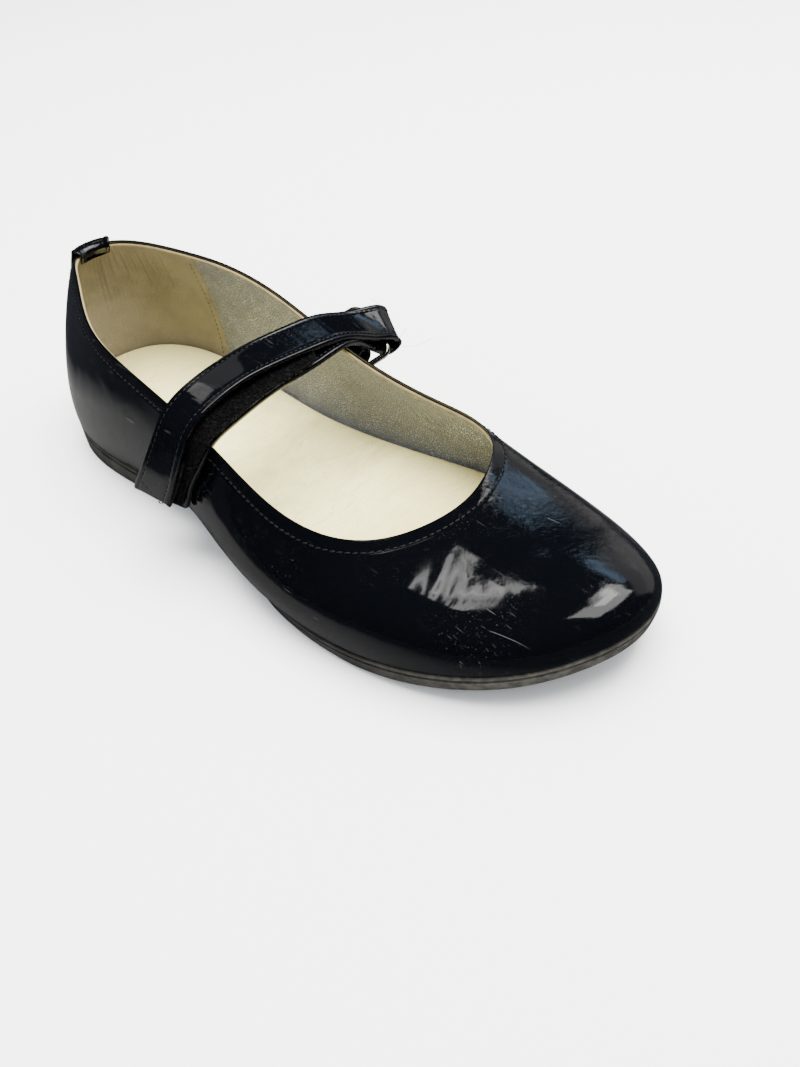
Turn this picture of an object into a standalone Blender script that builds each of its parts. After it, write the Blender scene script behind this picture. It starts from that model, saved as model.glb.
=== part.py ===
"""Ballet flat with an instep strap, right shoe, as separate named pieces.

Frame: +Z up, toe towards -Y, heel towards +Y. The wearer's left, which is the inner (medial)
side of a right shoe, is +X, and the outer (lateral) side is -X. The shoe stands on Z = 0,
with the origin under the middle of its heel.
Shoe coordinates, used in every table, are millimetres: `along` runs from the back of the heel
to the toe, `side` is positive on the medial side, and `height` is above the floor.
"""
import math
from collections import namedtuple

import bmesh
import bpy
import numpy as np

MM = 0.001

# ---------------------------------------------------------------- driving sizes (mm)
LENGTH = 215.0            # sole length, back of the heel to the toe
WALL = 1.8                # patent leather and lining together
GAP = 0.3                 # clearance between pieces that touch
HEEL_BREAST = 0.325       # front of the heel block, as a share of the length
HEEL_MIDDLE = 35.0        # how far along the frame's origin is, under the heel block's middle
STRAP_WIDTH = 12.6
STRAP_THICK = 1.7
STRAP_END_SKEW = 0.68     # the free end is cut on a slant, longer on its heelward edge
TAPE_WIDTH = 12.0
TAPE_THICK = 0.8
TAPE_GAP = 0.42            # the strap bends, so its tape needs a little more
CHAPE_WIDTH = 11.2         # the loop that holds the ring
CHAPE_THICK = 1.2
RING_WIRE = 1.9
BACKSTAY_WIDTH = 14.0
BACKSTAY_THICK = 0.9
BACKSTAY_TURNED_IN = (0.985, 0.97, 0.95)     # how far it comes back down inside the collar

UPPER_COLUMNS = 88
UPPER_ROWS = 11
INSOLE_COLUMNS = 72

# The seat is the line where the upper meets the sole, seen from above.
Seat = namedtuple("Seat", "share lateral medial height")
SEAT = [
    Seat(0.00, 0.9, 0.9, 10.3),
    Seat(0.02, -14.6, 16.2, 10.1),
    Seat(0.05, -21.4, 22.6, 9.6),
    Seat(0.10, -27.0, 27.1, 8.9),
    Seat(0.20, -29.8, 28.2, 7.7),
    Seat(0.30, -28.8, 27.0, 6.8),
    Seat(0.40, -29.0, 26.6, 5.9),
    Seat(0.50, -34.0, 29.6, 5.2),
    Seat(0.60, -39.6, 34.0, 4.9),
    Seat(0.70, -41.4, 36.8, 5.4),
    Seat(0.80, -38.6, 35.6, 7.4),
    Seat(0.90, -29.5, 30.6, 10.6),
    Seat(0.95, -20.1, 24.8, 12.5),
    Seat(0.98, -10.6, 18.4, 13.9),
    Seat(1.00, 4.5, 4.5, 14.8),
]

# The topline is the collar's edge. `turn` runs from 0 at the back seam to 1 at the throat.
Collar = namedtuple("Collar", "turn along lateral medial lateral_height medial_height")
COLLAR = [
    Collar(0.000, 1.6, 4.2, 4.2, 54.4, 54.4),
    Collar(0.090, 5.8, -4.4, 13.0, 54.1, 54.3),
    Collar(0.170, 16.6, -11.0, 18.6, 53.0, 53.9),
    Collar(0.250, 31.1, -19.0, 23.1, 51.0, 52.5),
    Collar(0.325, 48.0, -25.6, 26.4, 48.6, 50.6),
    Collar(0.390, 67.3, -28.3, 27.3, 45.5, 47.0),
    Collar(0.450, 87.3, -29.2, 26.4, 40.8, 41.8),
    Collar(0.515, 107.0, -30.9, 26.0, 35.4, 36.8),
    Collar(0.585, 124.8, -32.8, 27.4, 31.2, 33.0),
    Collar(0.670, 140.5, -32.0, 28.8, 29.0, 31.0),
    Collar(0.770, 152.2, -26.9, 26.0, 28.4, 30.0),
    Collar(0.880, 159.8, -16.8, 16.7, 28.2, 29.2),
    Collar(1.000, 163.6, 0.3, 0.3, 28.6, 28.6),
]

# The wall between them: it leaves the sole `rise` high and `bulge` outwards, and comes to
# the topline at `slope` degrees below level, with its last bend `reach` long.
Wall = namedtuple("Wall", "turn rise bulge slope reach "
                          "medial_rise medial_bulge medial_slope medial_reach")
WALL_SHAPE = [
    Wall(0.000, 16, 0.2, 62, 19, 16, 0.2, 62, 19),
    Wall(0.090, 16, 0.2, 62, 17, 16, 0.4, 64, 18),
    Wall(0.170, 16, 1.0, 63, 16, 16, 1.2, 65, 17),
    Wall(0.250, 15, 2.6, 68, 15, 15, 2.6, 72, 15),
    Wall(0.325, 13, 6.0, 76, 13, 14, 4.5, 78, 13),
    Wall(0.390, 11, 8.6, 80, 13, 13, 6.0, 80, 13),
    Wall(0.450, 10, 10.2, 80, 12, 12, 6.5, 80, 12),
    Wall(0.515, 9, 10.6, 76, 10, 11, 5.5, 76, 10),
    Wall(0.585, 9, 7.4, 68, 9, 10, 3.5, 70, 8),
    Wall(0.670, 10, 3.0, 52, 10, 8, 1.4, 66, 7),
    Wall(0.770, 12, 1.6, 34, 14, 7, 0.4, 58, 8),
    Wall(0.880, 13, 1.4, 22, 22, 9, 0.4, 42, 12),
    Wall(1.000, 14, 1.2, 15, 27, 14, 1.2, 15, 27),
]


# The sole's side from its top: `drop` is a share of its height, `inset` and `taper` are how far
# it goes in from the proud edge, the second as a share of the side's own taper.
SoleEdge = namedtuple("SoleEdge", "drop inset taper")
SOLE_EDGE = [
    SoleEdge(0.00, 1.5, 0.0),
    SoleEdge(0.00, 0.5, 0.0),
    SoleEdge(0.07, 0.0, 0.0),
    SoleEdge(0.16, 0.0, 0.0),
    SoleEdge(0.20, 0.5, 0.0),
    SoleEdge(0.27, 0.5, 0.0),
    SoleEdge(0.31, 0.0, 0.0),
    SoleEdge(0.85, 0.0, 0.6),
    SoleEdge(1.00, 0.4, 1.0),
]

# How far the sole's edge stands outside the seat, and how much its side tapers to the floor.
SoleLine = namedtuple("SoleLine", "share proud taper")
SOLE_LINE = [
    SoleLine(0.00, 0.0, 0.2),
    SoleLine(0.31, 0.0, 0.2),
    SoleLine(0.40, -1.6, 0.7),
    SoleLine(0.50, -0.8, 1.3),
    SoleLine(0.60, 0.3, 1.3),
    SoleLine(0.90, 0.3, 1.3),
    SoleLine(1.00, 0.1, 1.3),
]

# Height of the sole's underside in front of the heel: arch, flat ball and raised toe.
SoleFloor = namedtuple("SoleFloor", "share height")
SOLE_FLOOR = [
    SoleFloor(0.33, 2.9),
    SoleFloor(0.42, 2.0),
    SoleFloor(0.50, 0.9),
    SoleFloor(0.57, 0.0),
    SoleFloor(0.745, 0.0),
    SoleFloor(0.80, 1.2),
    SoleFloor(0.86, 3.3),
    SoleFloor(0.93, 6.0),
    SoleFloor(1.00, 9.2),
]

# The insole's edge from its underside up: a share of its height, and how far in it goes.
InsoleEdge = namedtuple("InsoleEdge", "share inset")
INSOLE_EDGE = [
    InsoleEdge(0.00, 0.8),
    InsoleEdge(0.20, 0.4),
    InsoleEdge(0.75, 0.4),
    InsoleEdge(1.00, 1.0),
]

# The insole's upper face stands this high over the seat: a heel pad that thins forwards.
InsoleTop = namedtuple("InsoleTop", "share height")
INSOLE_TOP = [
    InsoleTop(0.00, 4.4),
    InsoleTop(0.20, 4.2),
    InsoleTop(0.35, 3.4),
    InsoleTop(0.55, 2.4),
    InsoleTop(1.00, 2.0),
]


# ---------------------------------------------------------------- curves and surfaces
def smooth(knots, values, where, closed=False):
    """Cubic curve through `values` at `knots`, read at `where`. A closed one repeats its
    first value at the last knot."""
    knots, values = np.asarray(knots, float), np.asarray(values, float)
    where = np.atleast_1d(np.asarray(where, float))
    if values.ndim == 1:
        values = values[:, None]
    count = len(knots) - 1
    if closed:
        where = (where - knots[0]) % (knots[-1] - knots[0]) + knots[0]
    step = np.diff(knots)
    rate = np.diff(values, axis=0) / step[:, None]
    size = count if closed else count + 1
    matrix = np.zeros((size, size))
    right = np.zeros((size, values.shape[1]))
    for row in range(size):
        if not closed and row in (0, count):
            matrix[row, row] = 1.0
            continue
        before, after = (row - 1) % count, row % count
        matrix[row, (row - 1) % size] += step[before]
        matrix[row, row] += 2 * (step[before] + step[after])
        matrix[row, (row + 1) % size] += step[after]
        right[row] = 6 * (rate[after] - rate[before])
    bend = np.linalg.solve(matrix, right)
    if closed:
        bend = np.vstack([bend, bend[:1]])
    span = np.clip(np.searchsorted(knots, where, side="right") - 1, 0, count - 1)
    h = step[span][:, None]
    b = (where - knots[span])[:, None] / h
    a = 1 - b
    return (a * values[span] + b * values[span + 1]
            + ((a**3 - a) * bend[span] + (b**3 - b) * bend[span + 1]) * h**2 / 6)


def round_table(turns, lateral, medial):
    """Rows for one trip round the shoe: back seam, lateral side, toe, medial side, back seam."""
    knots = np.concatenate([turns, 2 - turns[-2::-1]])
    return knots, np.vstack([lateral, medial[-2::-1]])


def share_to_turn(share):
    return np.arccos(1 - 2 * np.asarray(share)) / math.pi


def seat_table():
    share = np.array([row.share for row in SEAT])
    heights = [row.height for row in SEAT]
    lateral = np.column_stack([share * LENGTH, [row.lateral for row in SEAT], heights])
    medial = np.column_stack([share * LENGTH, [row.medial for row in SEAT], heights])
    return round_table(share_to_turn(share), lateral, medial)


def collar_table():
    turns = np.array([row.turn for row in COLLAR])
    lateral = [(row.along, row.lateral, row.lateral_height) for row in COLLAR]
    medial = [(row.along, row.medial, row.medial_height) for row in COLLAR]
    return round_table(turns, np.array(lateral), np.array(medial))


def wall_table():
    turns = np.array([row.turn for row in WALL_SHAPE])
    lateral = [row[1:5] for row in WALL_SHAPE]
    medial = [row[5:9] for row in WALL_SHAPE]
    return round_table(turns, np.array(lateral, float), np.array(medial, float))


SEAT_KNOTS, SEAT_ROWS = seat_table()
COLLAR_KNOTS, COLLAR_ROWS = collar_table()
WALL_KNOTS, WALL_ROWS = wall_table()


def seat_line(turn):
    return smooth(SEAT_KNOTS, SEAT_ROWS, turn, closed=True)


def collar_line(turn):
    return smooth(COLLAR_KNOTS, COLLAR_ROWS, turn, closed=True)


def outward(line, turn):
    """Level unit vectors that point away from the shoe's middle, across a line round it."""
    delta = 1e-3
    way = line(np.asarray(turn) + delta) - line(np.asarray(turn) - delta)
    out = np.column_stack([way[:, 1], -way[:, 0], np.zeros(len(way))])
    return out / np.linalg.norm(out, axis=1)[:, None]


def upper_skin(turn, rise):
    """Points of the upper's outer face, for equal-length arrays of turn (0 to 2) and rise
    (0 at the sole, 1 at the topline)."""
    turn, rise = np.broadcast_arrays(np.atleast_1d(turn).astype(float), rise)
    seat, top = seat_line(turn), collar_line(turn)
    out_low, out_high = outward(seat_line, turn), outward(collar_line, turn)
    shape = smooth(WALL_KNOTS, WALL_ROWS, turn, closed=True)
    up = np.array([0.0, 0.0, 1.0])
    lower = seat + shape[:, :1] * up + shape[:, 1:2] * out_low
    slope = np.radians(shape[:, 2:3])
    higher = top + shape[:, 3:4] * (np.cos(slope) * out_high - np.sin(slope) * up)
    t = rise[:, None]
    return ((1 - t)**3 * seat + 3 * t * (1 - t)**2 * lower
            + 3 * t**2 * (1 - t) * higher + t**3 * top)


def upper_normal(turn, rise):
    turn, rise = np.broadcast_arrays(np.atleast_1d(turn).astype(float), rise)
    delta = 1e-3
    low, high = np.maximum(rise - delta, 0), np.minimum(rise + delta, 1)
    across = upper_skin(turn + delta, rise) - upper_skin(turn - delta, rise)
    along = upper_skin(turn, high) - upper_skin(turn, low)
    normal = np.cross(across, along)
    return normal / np.linalg.norm(normal, axis=1)[:, None]


def upper_face(turn, rise, lift):
    """Points at a distance `lift` outside the upper's outer face; a minus sign is inside."""
    return upper_skin(turn, rise) + lift * upper_normal(turn, rise)


# ---------------------------------------------------------------- mesh building
def to_world(points):
    points = np.asarray(points, float)
    return np.column_stack([points[:, 1], HEEL_MIDDLE - points[:, 0], points[:, 2]]) * MM


def material(name, colour, roughness, metallic=0.0):
    made = bpy.data.materials.new(name)
    made.use_nodes = True
    shader = made.node_tree.nodes["Principled BSDF"]
    shader.inputs["Base Color"].default_value = (*colour, 1.0)
    shader.inputs["Roughness"].default_value = roughness
    shader.inputs["Metallic"].default_value = metallic
    return made


def finish(name, mesh_data, surface):
    """Turn a filled bmesh into a named object with its faces pointing out."""
    bmesh.ops.recalc_face_normals(mesh_data, faces=mesh_data.faces)
    bmesh.ops.triangulate(mesh_data, faces=mesh_data.faces)
    mesh = bpy.data.meshes.new(name)
    mesh_data.to_mesh(mesh)
    mesh_data.free()
    mesh.materials.append(surface)
    mesh.shade_smooth()
    mesh.set_sharp_from_angle(angle=math.radians(40))
    made = bpy.data.objects.new(name, mesh)
    bpy.context.scene.collection.objects.link(made)
    return made


def loft(mesh_data, rings, closed_path=False, caps=None):
    """Skin a list of rings of points with quads. Caps are 'fan' for a small section, or
    'ladder' where point i faces point -i across the ring."""
    loops = [[mesh_data.verts.new(p) for p in to_world(ring)] for ring in rings]
    count = len(loops[0])
    pairs = list(zip(loops, loops[1:]))
    if closed_path:
        pairs.append((loops[-1], loops[0]))
    for near, far in pairs:
        for i in range(count):
            j = (i + 1) % count
            mesh_data.faces.new((near[i], near[j], far[j], far[i]))
    if caps == "fan":
        for loop in (loops[0], loops[-1]):
            mesh_data.faces.new(loop)
    if caps == "ladder":
        for loop in (loops[0], loops[-1]):
            half = count // 2
            for i in range(half):
                corners = [loop[i], loop[i + 1], loop[-i - 1], loop[-i % count]]
                mesh_data.faces.new(list(dict.fromkeys(corners)))


def box_section(width, thick, corner):
    """Eight points (across, up) of a flat strip's section with small cut corners."""
    half_width, half_thick = width / 2, thick / 2
    return [(half_width, -half_thick + corner), (half_width, half_thick - corner),
            (half_width - corner, half_thick), (-half_width + corner, half_thick),
            (-half_width, half_thick - corner), (-half_width, -half_thick + corner),
            (-half_width + corner, -half_thick), (half_width - corner, -half_thick)]


def ribbon(name, centres, crosses, width, thick, surface, corner=0.3, end_radius=1.5, skew=0.0):
    """A strip swept along `centres`, with its width along `crosses` and round end corners.
    With a `skew`, its far end is cut on a slant."""
    centres = np.asarray(centres)
    way = np.gradient(centres, axis=0)
    way /= np.linalg.norm(way, axis=1)[:, None]
    ups = np.cross(way, crosses)
    gone = np.concatenate([[0], np.cumsum(np.linalg.norm(np.diff(centres, axis=0), axis=1))])
    left = gone[-1] - gone
    slants = skew * np.clip(1 - left / width, 0, 1)[:, None] * way
    rings = []
    for centre, cross, up, slant, near in zip(centres, crosses, ups, slants,
                                              np.minimum(gone, left)):
        short = max(end_radius - near, 0)
        cut = end_radius - math.sqrt(end_radius**2 - short**2) if short else 0
        section = box_section(max(width - 2 * cut, width - 1.9 * end_radius), thick, corner)
        rings.append([centre + a * (cross + slant) + b * up for a, b in section])
    mesh_data = bmesh.new()
    loft(mesh_data, rings, caps="fan")
    return finish(name, mesh_data, surface)


# ---------------------------------------------------------------- the pieces
def make_upper(surface):
    turns = np.arange(UPPER_COLUMNS) * 2 / UPPER_COLUMNS
    rises = np.linspace(0, 1, UPPER_ROWS)
    outer = [upper_face(turns, rise, 0) for rise in rises]
    inner = [upper_face(turns, rise, -WALL) for rise in rises]
    inner[0][:, 2] = outer[0][:, 2]
    mesh_data = bmesh.new()
    loft(mesh_data, outer + inner[::-1], closed_path=True)
    return finish("upper", mesh_data, surface)


def sole_turns():
    """Stations round the sole, with a close pair on each side at the front of the heel."""
    breast = share_to_turn(np.array([HEEL_BREAST, HEEL_BREAST + 0.006]))
    even = np.arange(1, 40) / 40
    even = even[np.abs(even - breast.mean()) > 0.012]
    side = np.sort(np.concatenate([even, breast]))
    return np.concatenate([[0.0], side, [1.0], 2 - side[::-1]])


def sole_floor(share):
    """Height of the sole's underside, with the heel block flat on the floor."""
    knots, heights = np.array(SOLE_FLOOR).T
    return np.where(share < HEEL_BREAST + 0.003, 0.0, np.interp(share, knots, heights))


def make_outsole(surface):
    turns = sole_turns()
    line, out = seat_line(turns), outward(seat_line, turns)
    share = line[:, 0] / LENGTH
    knots, prouds, tapers = np.array(SOLE_LINE).T
    proud = np.interp(share, knots, prouds)
    taper = np.interp(share, knots, tapers)
    floor = sole_floor(share)
    top = line[:, 2] - GAP
    rings = []
    for row in SOLE_EDGE:
        ring = line + (proud - row.inset - row.taper * taper)[:, None] * out
        ring[:, 2] = top + row.drop * (floor - top)
        rings.append(ring)
    mesh_data = bmesh.new()
    loft(mesh_data, rings, caps="ladder")
    return finish("outsole", mesh_data, surface)


def make_insole(surface):
    """A board that fills the floor of the upper, its edge a gap from the wall."""
    turns = np.arange(INSOLE_COLUMNS) * 2 / INSOLE_COLUMNS
    line, out = seat_line(turns), outward(seat_line, turns)
    high = np.interp(line[:, 0] / LENGTH, *np.array(INSOLE_TOP).T)
    wall = np.array([upper_face(turns, rise, -WALL - GAP) for rise in np.linspace(0, 0.3, 13)])
    up = wall[:, :, 2] - line[:, 2]
    reach = np.maximum(((wall - line) * out).sum(axis=2), -WALL - GAP)
    rings = []
    for row in INSOLE_EDGE:
        room = [np.interp(h, u, r) for h, u, r in zip(row.share * high, up.T, reach.T)]
        ring = line + (np.array(room) - row.inset)[:, None] * out
        ring[:, 2] = line[:, 2] + row.share * high
        rings.append(ring)
    mesh_data = bmesh.new()
    loft(mesh_data, rings, caps="ladder")
    return finish("insole", mesh_data, surface)


def seam_point(across, rise, lift):
    """A point beside the back seam, `across` mm from it along the upper."""
    delta = 1e-3
    way = upper_skin([delta], rise) - upper_skin([-delta], rise)
    turn = across / (np.linalg.norm(way) / (2 * delta))
    return upper_face([turn], rise, lift)[0]


def make_backstay(surface):
    """A strip up the back seam, turned over the collar and down inside."""
    columns = np.linspace(-0.5, 0.5, 5) * BACKSTAY_WIDTH
    near, far = GAP, GAP + BACKSTAY_THICK
    up = np.array([0, 0, 1.0])

    def row(rise, lift, raise_by=0.0):
        return [seam_point(a, rise, lift) + raise_by * up for a in columns]

    rings = [row(rise, far) + row(rise, near)[::-1] for rise in np.linspace(0.07, 0.97, 9)]
    for share, crown in ((0.0, 0.75), (0.5, 1.2), (1.0, 0.75)):
        over = row(1.0, far - share * (WALL + 2 * far), GAP + crown * BACKSTAY_THICK)
        under = row(1.0, near - share * (WALL + 2 * near), GAP)
        rings.append(over + under[::-1])
    for rise in BACKSTAY_TURNED_IN:
        rings.append(row(rise, -WALL - far) + row(rise, -WALL - near)[::-1])
    mesh_data = bmesh.new()
    loft(mesh_data, rings, caps="fan")
    return finish("backstay", mesh_data, surface)


def corner_arc(middle, radius, start):
    """Five (across, out) points of a quarter circle."""
    angles = np.radians(start + np.linspace(0, 90, 5))
    return [(middle[0] + radius * math.cos(a), middle[1] + radius * math.sin(a)) for a in angles]


def make_ring(surface):
    """Round wire bent to a rectangle with round corners, its lower bar in the loop."""
    half = RING_WIDTH / 2
    low, high = RING_LOW_CORNER, RING_HIGH_CORNER
    path = (corner_arc((half - high, RING_HEIGHT - high), high, 0)
            + corner_arc((high - half, RING_HEIGHT - high), high, 90)
            + corner_arc((low - half, low), low, 180) + corner_arc((half - low, low), low, 270))
    path = np.array(path)
    across = np.array(RING_ACROSS) / np.linalg.norm(RING_ACROSS)
    out = np.array(RING_OUTWARD, float)
    out -= (out @ across) * across
    out /= np.linalg.norm(out)
    face = np.cross(across, out)
    way = np.roll(path, -1, axis=0) - np.roll(path, 1, axis=0)
    way /= np.linalg.norm(way, axis=1)[:, None]
    rings = []
    for (x, y), (dx, dy) in zip(path, way):
        middle = np.array(RING_BAR) + x * across + y * out
        side = dy * across - dx * out
        angles = np.radians(np.arange(10) * 36)
        rings.append([middle + RING_WIRE / 2 * (math.cos(a) * side + math.sin(a) * face)
                      for a in angles])
    mesh_data = bmesh.new()
    loft(mesh_data, rings, closed_path=True)
    return finish("ring", mesh_data, surface)


# A strip lies on the upper at its `Sewn` rows, `layers` mm of other strips under it, and is
# free at its `Fold` rows, where `lift` is how much higher its heelward edge is than its toeward
# edge and `tuck` how much nearer the shoe's middle.
Sewn = namedtuple("Sewn", "name side_of_shoe along height layers")
Fold = namedtuple("Fold", "name along side height lift tuck")
LATERAL, MEDIAL = -1, 1
STRAP = [  # over the foot, down through the ring, and back to its free end
    Sewn("sewn end", LATERAL, 88.4, 18.6, 0.3),
    Sewn("on quarter", LATERAL, 93.0, 28.2, 0.9),
    Sewn("below topline", LATERAL, 96.2, 34.2, 1.0),
    Fold("over topline", 98.4, -29.8, 40.2, 2.8, 0.0),
    Fold("lateral arch", 98.2, -21.4, 42.1, 2.2, 0.0),
    Fold("crown", 96.6, -5.0, 42.8, 1.5, 0.0),
    Fold("medial arch", 94.8, 13.0, 42.2, 2.4, 0.0),
    Fold("over medial topline", 93.6, 26.6, 41.8, 4.0, 0.0),
    Fold("into ring", 92.2, 34.5, 37.4, 5.2, -1.6),
    Fold("under bar", 92.2, 41.4, 32.8, 7.6, -3.6),
    Fold("fold below", 92.4, 45.8, 31.2, 8.6, -5.4),
    Fold("fold", 93.4, 48.4, 33.2, 9.0, -6.2),
    Fold("fold above", 94.2, 46.6, 36.2, 8.6, -5.4),
    Fold("over bar", 93.8, 42.0, 38.0, 7.6, -3.6),
    Fold("out of ring", 93.1, 35.0, 40.2, 5.0, -1.4),
    Fold("top medial", 93.0, 25.4, 44.0, 4.0, 0.0),
    Fold("top crown", 93.0, 12.0, 46.3, 3.3, 0.0),
    Fold("top middle", 93.1, -1.0, 47.6, 2.4, 0.0),
    Fold("top lateral", 93.3, -12.0, 47.9, 1.2, 0.0),
    Fold("top shoulder", 93.8, -23.2, 46.8, 1.0, 0.2),
    Fold("top bend", 94.2, -32.8, 43.3, 0.6, 0.3),
    Fold("top drop", 93.4, -37.7, 36.6, 0.0, -0.4),
    Fold("free end upper", 91.0, -40.6, 29.2, 0.0, -0.8),
    Fold("free end", 86.2, -42.2, 20.8, -1.0, -0.8),
]
CHAPE = [  # up the medial quarter, round the ring's lower bar and back down over itself
    Sewn("inner end", MEDIAL, 85.2, 14.6, 0.1),
    Sewn("inner middle", MEDIAL, 87.6, 20.4, 0.1),
    Sewn("inner top", MEDIAL, 89.8, 26.4, 0.4),
    Fold("inside bar", 90.1, 32.2, 33.0, 7.0, -2.5),
    Fold("top of bar", 90.3, 34.4, 35.0, 7.0, -2.5),
    Fold("outside bar", 90.2, 36.7, 33.0, 7.0, -2.5),
    Sewn("outer top", MEDIAL, 89.6, 26.0, CHAPE_THICK + 1.1),
    Sewn("outer middle", MEDIAL, 87.2, 19.6, CHAPE_THICK + 0.4),
    Sewn("outer end", MEDIAL, 84.9, 13.8, CHAPE_THICK + 0.4),
]

# The ring lies in a plane of its own: its lower bar, and which way it leans from there.
RING_LOW_CORNER, RING_HIGH_CORNER = 1.6, 2.8
RING_WIDTH, RING_HEIGHT = 18.6, 8.8
RING_BAR = (89.4, 34.5, 32.9)
RING_OUTWARD = (0.0, 7.6, 3.8)
RING_ACROSS = (-12.6, 2.5, 7.0)


def wall_spot(side_of_shoe, along, height, off):
    """Turn and rise of the point `off` mm from the upper that has this length and height."""
    spot = np.array([1 + side_of_shoe * 0.55, 0.5])
    delta = 1e-4
    for _ in range(12):
        turns = spot[0] + np.array([0, delta, 0])
        rises = spot[1] + np.array([0, 0, delta])
        found = upper_face(turns, rises, off)[:, [0, 2]]
        slope = (found[1:] - found[0]).T / delta
        step = np.linalg.solve(slope, found[0] - [along, height])
        spot = spot - np.clip(step, -0.2, 0.2)
    return spot


def strip_row(row, thick):
    """Middle point and width vector (to the heel) of a strip at one of its rows."""
    if isinstance(row, Fold):
        return (*row[1:4], -STRAP_WIDTH, -row.tuck * math.copysign(1, row.side), row.lift)
    off = GAP + thick / 2 + row.layers
    turn, rise = wall_spot(row.side_of_shoe, row.along, row.height, off)
    point = upper_face([turn], [rise], off)[0]
    normal = upper_normal([turn], [rise])[0]
    width = np.cross(normal, [0, 0, 1.0]) * -row.side_of_shoe * STRAP_WIDTH
    return (*point, *width)


def strip_route(table, thick, first, last, steps, lift=0.0, close=1.2):
    """Middle line and width directions of a strip between two named rows, moved `lift` off
    its face. The two ends get extra stations, `close` apart, to round their corners."""
    names = [row.name for row in table]
    rows = np.array([strip_row(row, thick) for row in table])
    spans = np.linalg.norm(np.diff(rows[:, :3], axis=0), axis=1)
    knots = np.concatenate([[0], np.cumsum(spans)])
    lo, hi = knots[names.index(first)], knots[names.index(last)]
    near = np.array([0, 0.1, 0.4, 1.0]) * close
    where = np.concatenate([lo + near, np.linspace(lo, hi, steps)[1:-1], hi - near[::-1]])
    where = np.unique(where)
    read = smooth(knots, rows, where)
    centres, crosses = read[:, :3], read[:, 3:]
    way = np.gradient(centres, where, axis=0)
    way /= np.linalg.norm(way, axis=1)[:, None]
    crosses -= (crosses * way).sum(axis=1)[:, None] * way
    crosses /= np.linalg.norm(crosses, axis=1)[:, None]
    return centres + lift * np.cross(way, crosses), crosses


def build():
    for old in list(bpy.data.objects):
        bpy.data.objects.remove(old, do_unlink=True)
    patent = material("black patent leather", (0.010, 0.011, 0.014), 0.12)
    rubber = material("black rubber", (0.025, 0.025, 0.024), 0.6)
    sock = material("cream leather", (0.72, 0.69, 0.55), 0.6)
    tape = material("black hook and loop tape", (0.012, 0.012, 0.013), 0.9)
    nickel = material("nickel", (0.72, 0.69, 0.62), 0.25, 1.0)
    make_outsole(rubber)
    make_upper(patent)
    make_insole(sock)
    make_backstay(patent)
    route = strip_route(STRAP, STRAP_THICK, "sewn end", "free end", 84)
    ribbon("strap", *route, STRAP_WIDTH, STRAP_THICK, patent, skew=STRAP_END_SKEW)
    off = STRAP_THICK / 2 + TAPE_GAP + TAPE_THICK / 2
    route = strip_route(STRAP, STRAP_THICK, "sewn end", "medial arch", 32, off)
    ribbon("loop_tape", *route, TAPE_WIDTH, TAPE_THICK, tape, corner=0.2, end_radius=4.5)
    route = strip_route(STRAP, STRAP_THICK, "top drop", "free end", 12, off)
    ribbon("hook_tape", *route, TAPE_WIDTH, TAPE_THICK, tape, corner=0.2)
    route = strip_route(CHAPE, CHAPE_THICK, "inner end", "outer end", 48)
    ribbon("ring_loop", *route, CHAPE_WIDTH, CHAPE_THICK, patent)
    make_ring(nickel)


build()
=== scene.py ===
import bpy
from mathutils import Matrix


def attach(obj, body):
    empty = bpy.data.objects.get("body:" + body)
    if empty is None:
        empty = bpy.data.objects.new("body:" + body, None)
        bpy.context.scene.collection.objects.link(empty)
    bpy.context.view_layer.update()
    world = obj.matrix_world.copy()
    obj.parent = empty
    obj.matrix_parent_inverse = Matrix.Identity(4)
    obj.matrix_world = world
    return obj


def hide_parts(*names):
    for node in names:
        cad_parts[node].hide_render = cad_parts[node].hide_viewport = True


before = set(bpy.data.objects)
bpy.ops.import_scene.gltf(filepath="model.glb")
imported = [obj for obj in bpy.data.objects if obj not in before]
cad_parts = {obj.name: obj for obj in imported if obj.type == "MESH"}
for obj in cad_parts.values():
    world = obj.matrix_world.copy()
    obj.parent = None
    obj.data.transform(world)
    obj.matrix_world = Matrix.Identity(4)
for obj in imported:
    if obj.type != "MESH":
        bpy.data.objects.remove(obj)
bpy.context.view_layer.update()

import math
from collections import namedtuple

import bpy
import numpy as np
from mathutils import Matrix, Quaternion, Vector

# ================================================================ viewing angle, floor, light
# The shoe stands on a plain pale floor. Soft studio lamps hang above it and beside its toe, and
# what they and the floor throw back is most of what shows of glossy black leather.
CAMERA_PLACE = Vector((-0.14008, -0.25410, 0.18118))
CAMERA_RIGHT = Vector((0.66899, -0.73967, -0.07305))
CAMERA_UP = Vector((0.52604, 0.40180, 0.74956))
CAMERA_LENS, CAMERA_SENSOR = 43.38, 36.0
CAMERA_SHIFT = (-0.01925, 0.01014)
LAMP_AIM = Vector((0.0, -0.09, 0.02))
FLOOR_COLOUR = (0.93, 0.93, 0.925, 1)
FLOOR_NEAR, FLOOR_FAR = (0.088, 0.088, 0.086, 1), (0.008, 0.009, 0.011, 1)
FLOOR_CARD_MIDDLE = (-0.005, -0.032, 0)
FLOOR_CARD = (0.102, 0.15)     # how far the paler floor reaches in the leather's reflections
FLOOR_SIZE = 12
ROOM_COLOUR = (0.92, 0.95, 1.0, 1)
ROOM_LIGHT, ROOM_IN_LEATHER = 1.60, 0.0085


def table(fields, rows):
    """Rows of values that are read by these names."""
    kind = namedtuple("Row", fields)
    return [kind(*row) for row in rows]


def feed(node, feeds):
    """Feeds a shader node's sockets. Each feed is a number, a colour or another node's output."""
    for name, value in dict(feeds).items():
        if isinstance(value, bpy.types.NodeSocket):
            node.id_data.links.new(value, node.inputs[name])
        else:
            node.inputs[name].default_value = value


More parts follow.
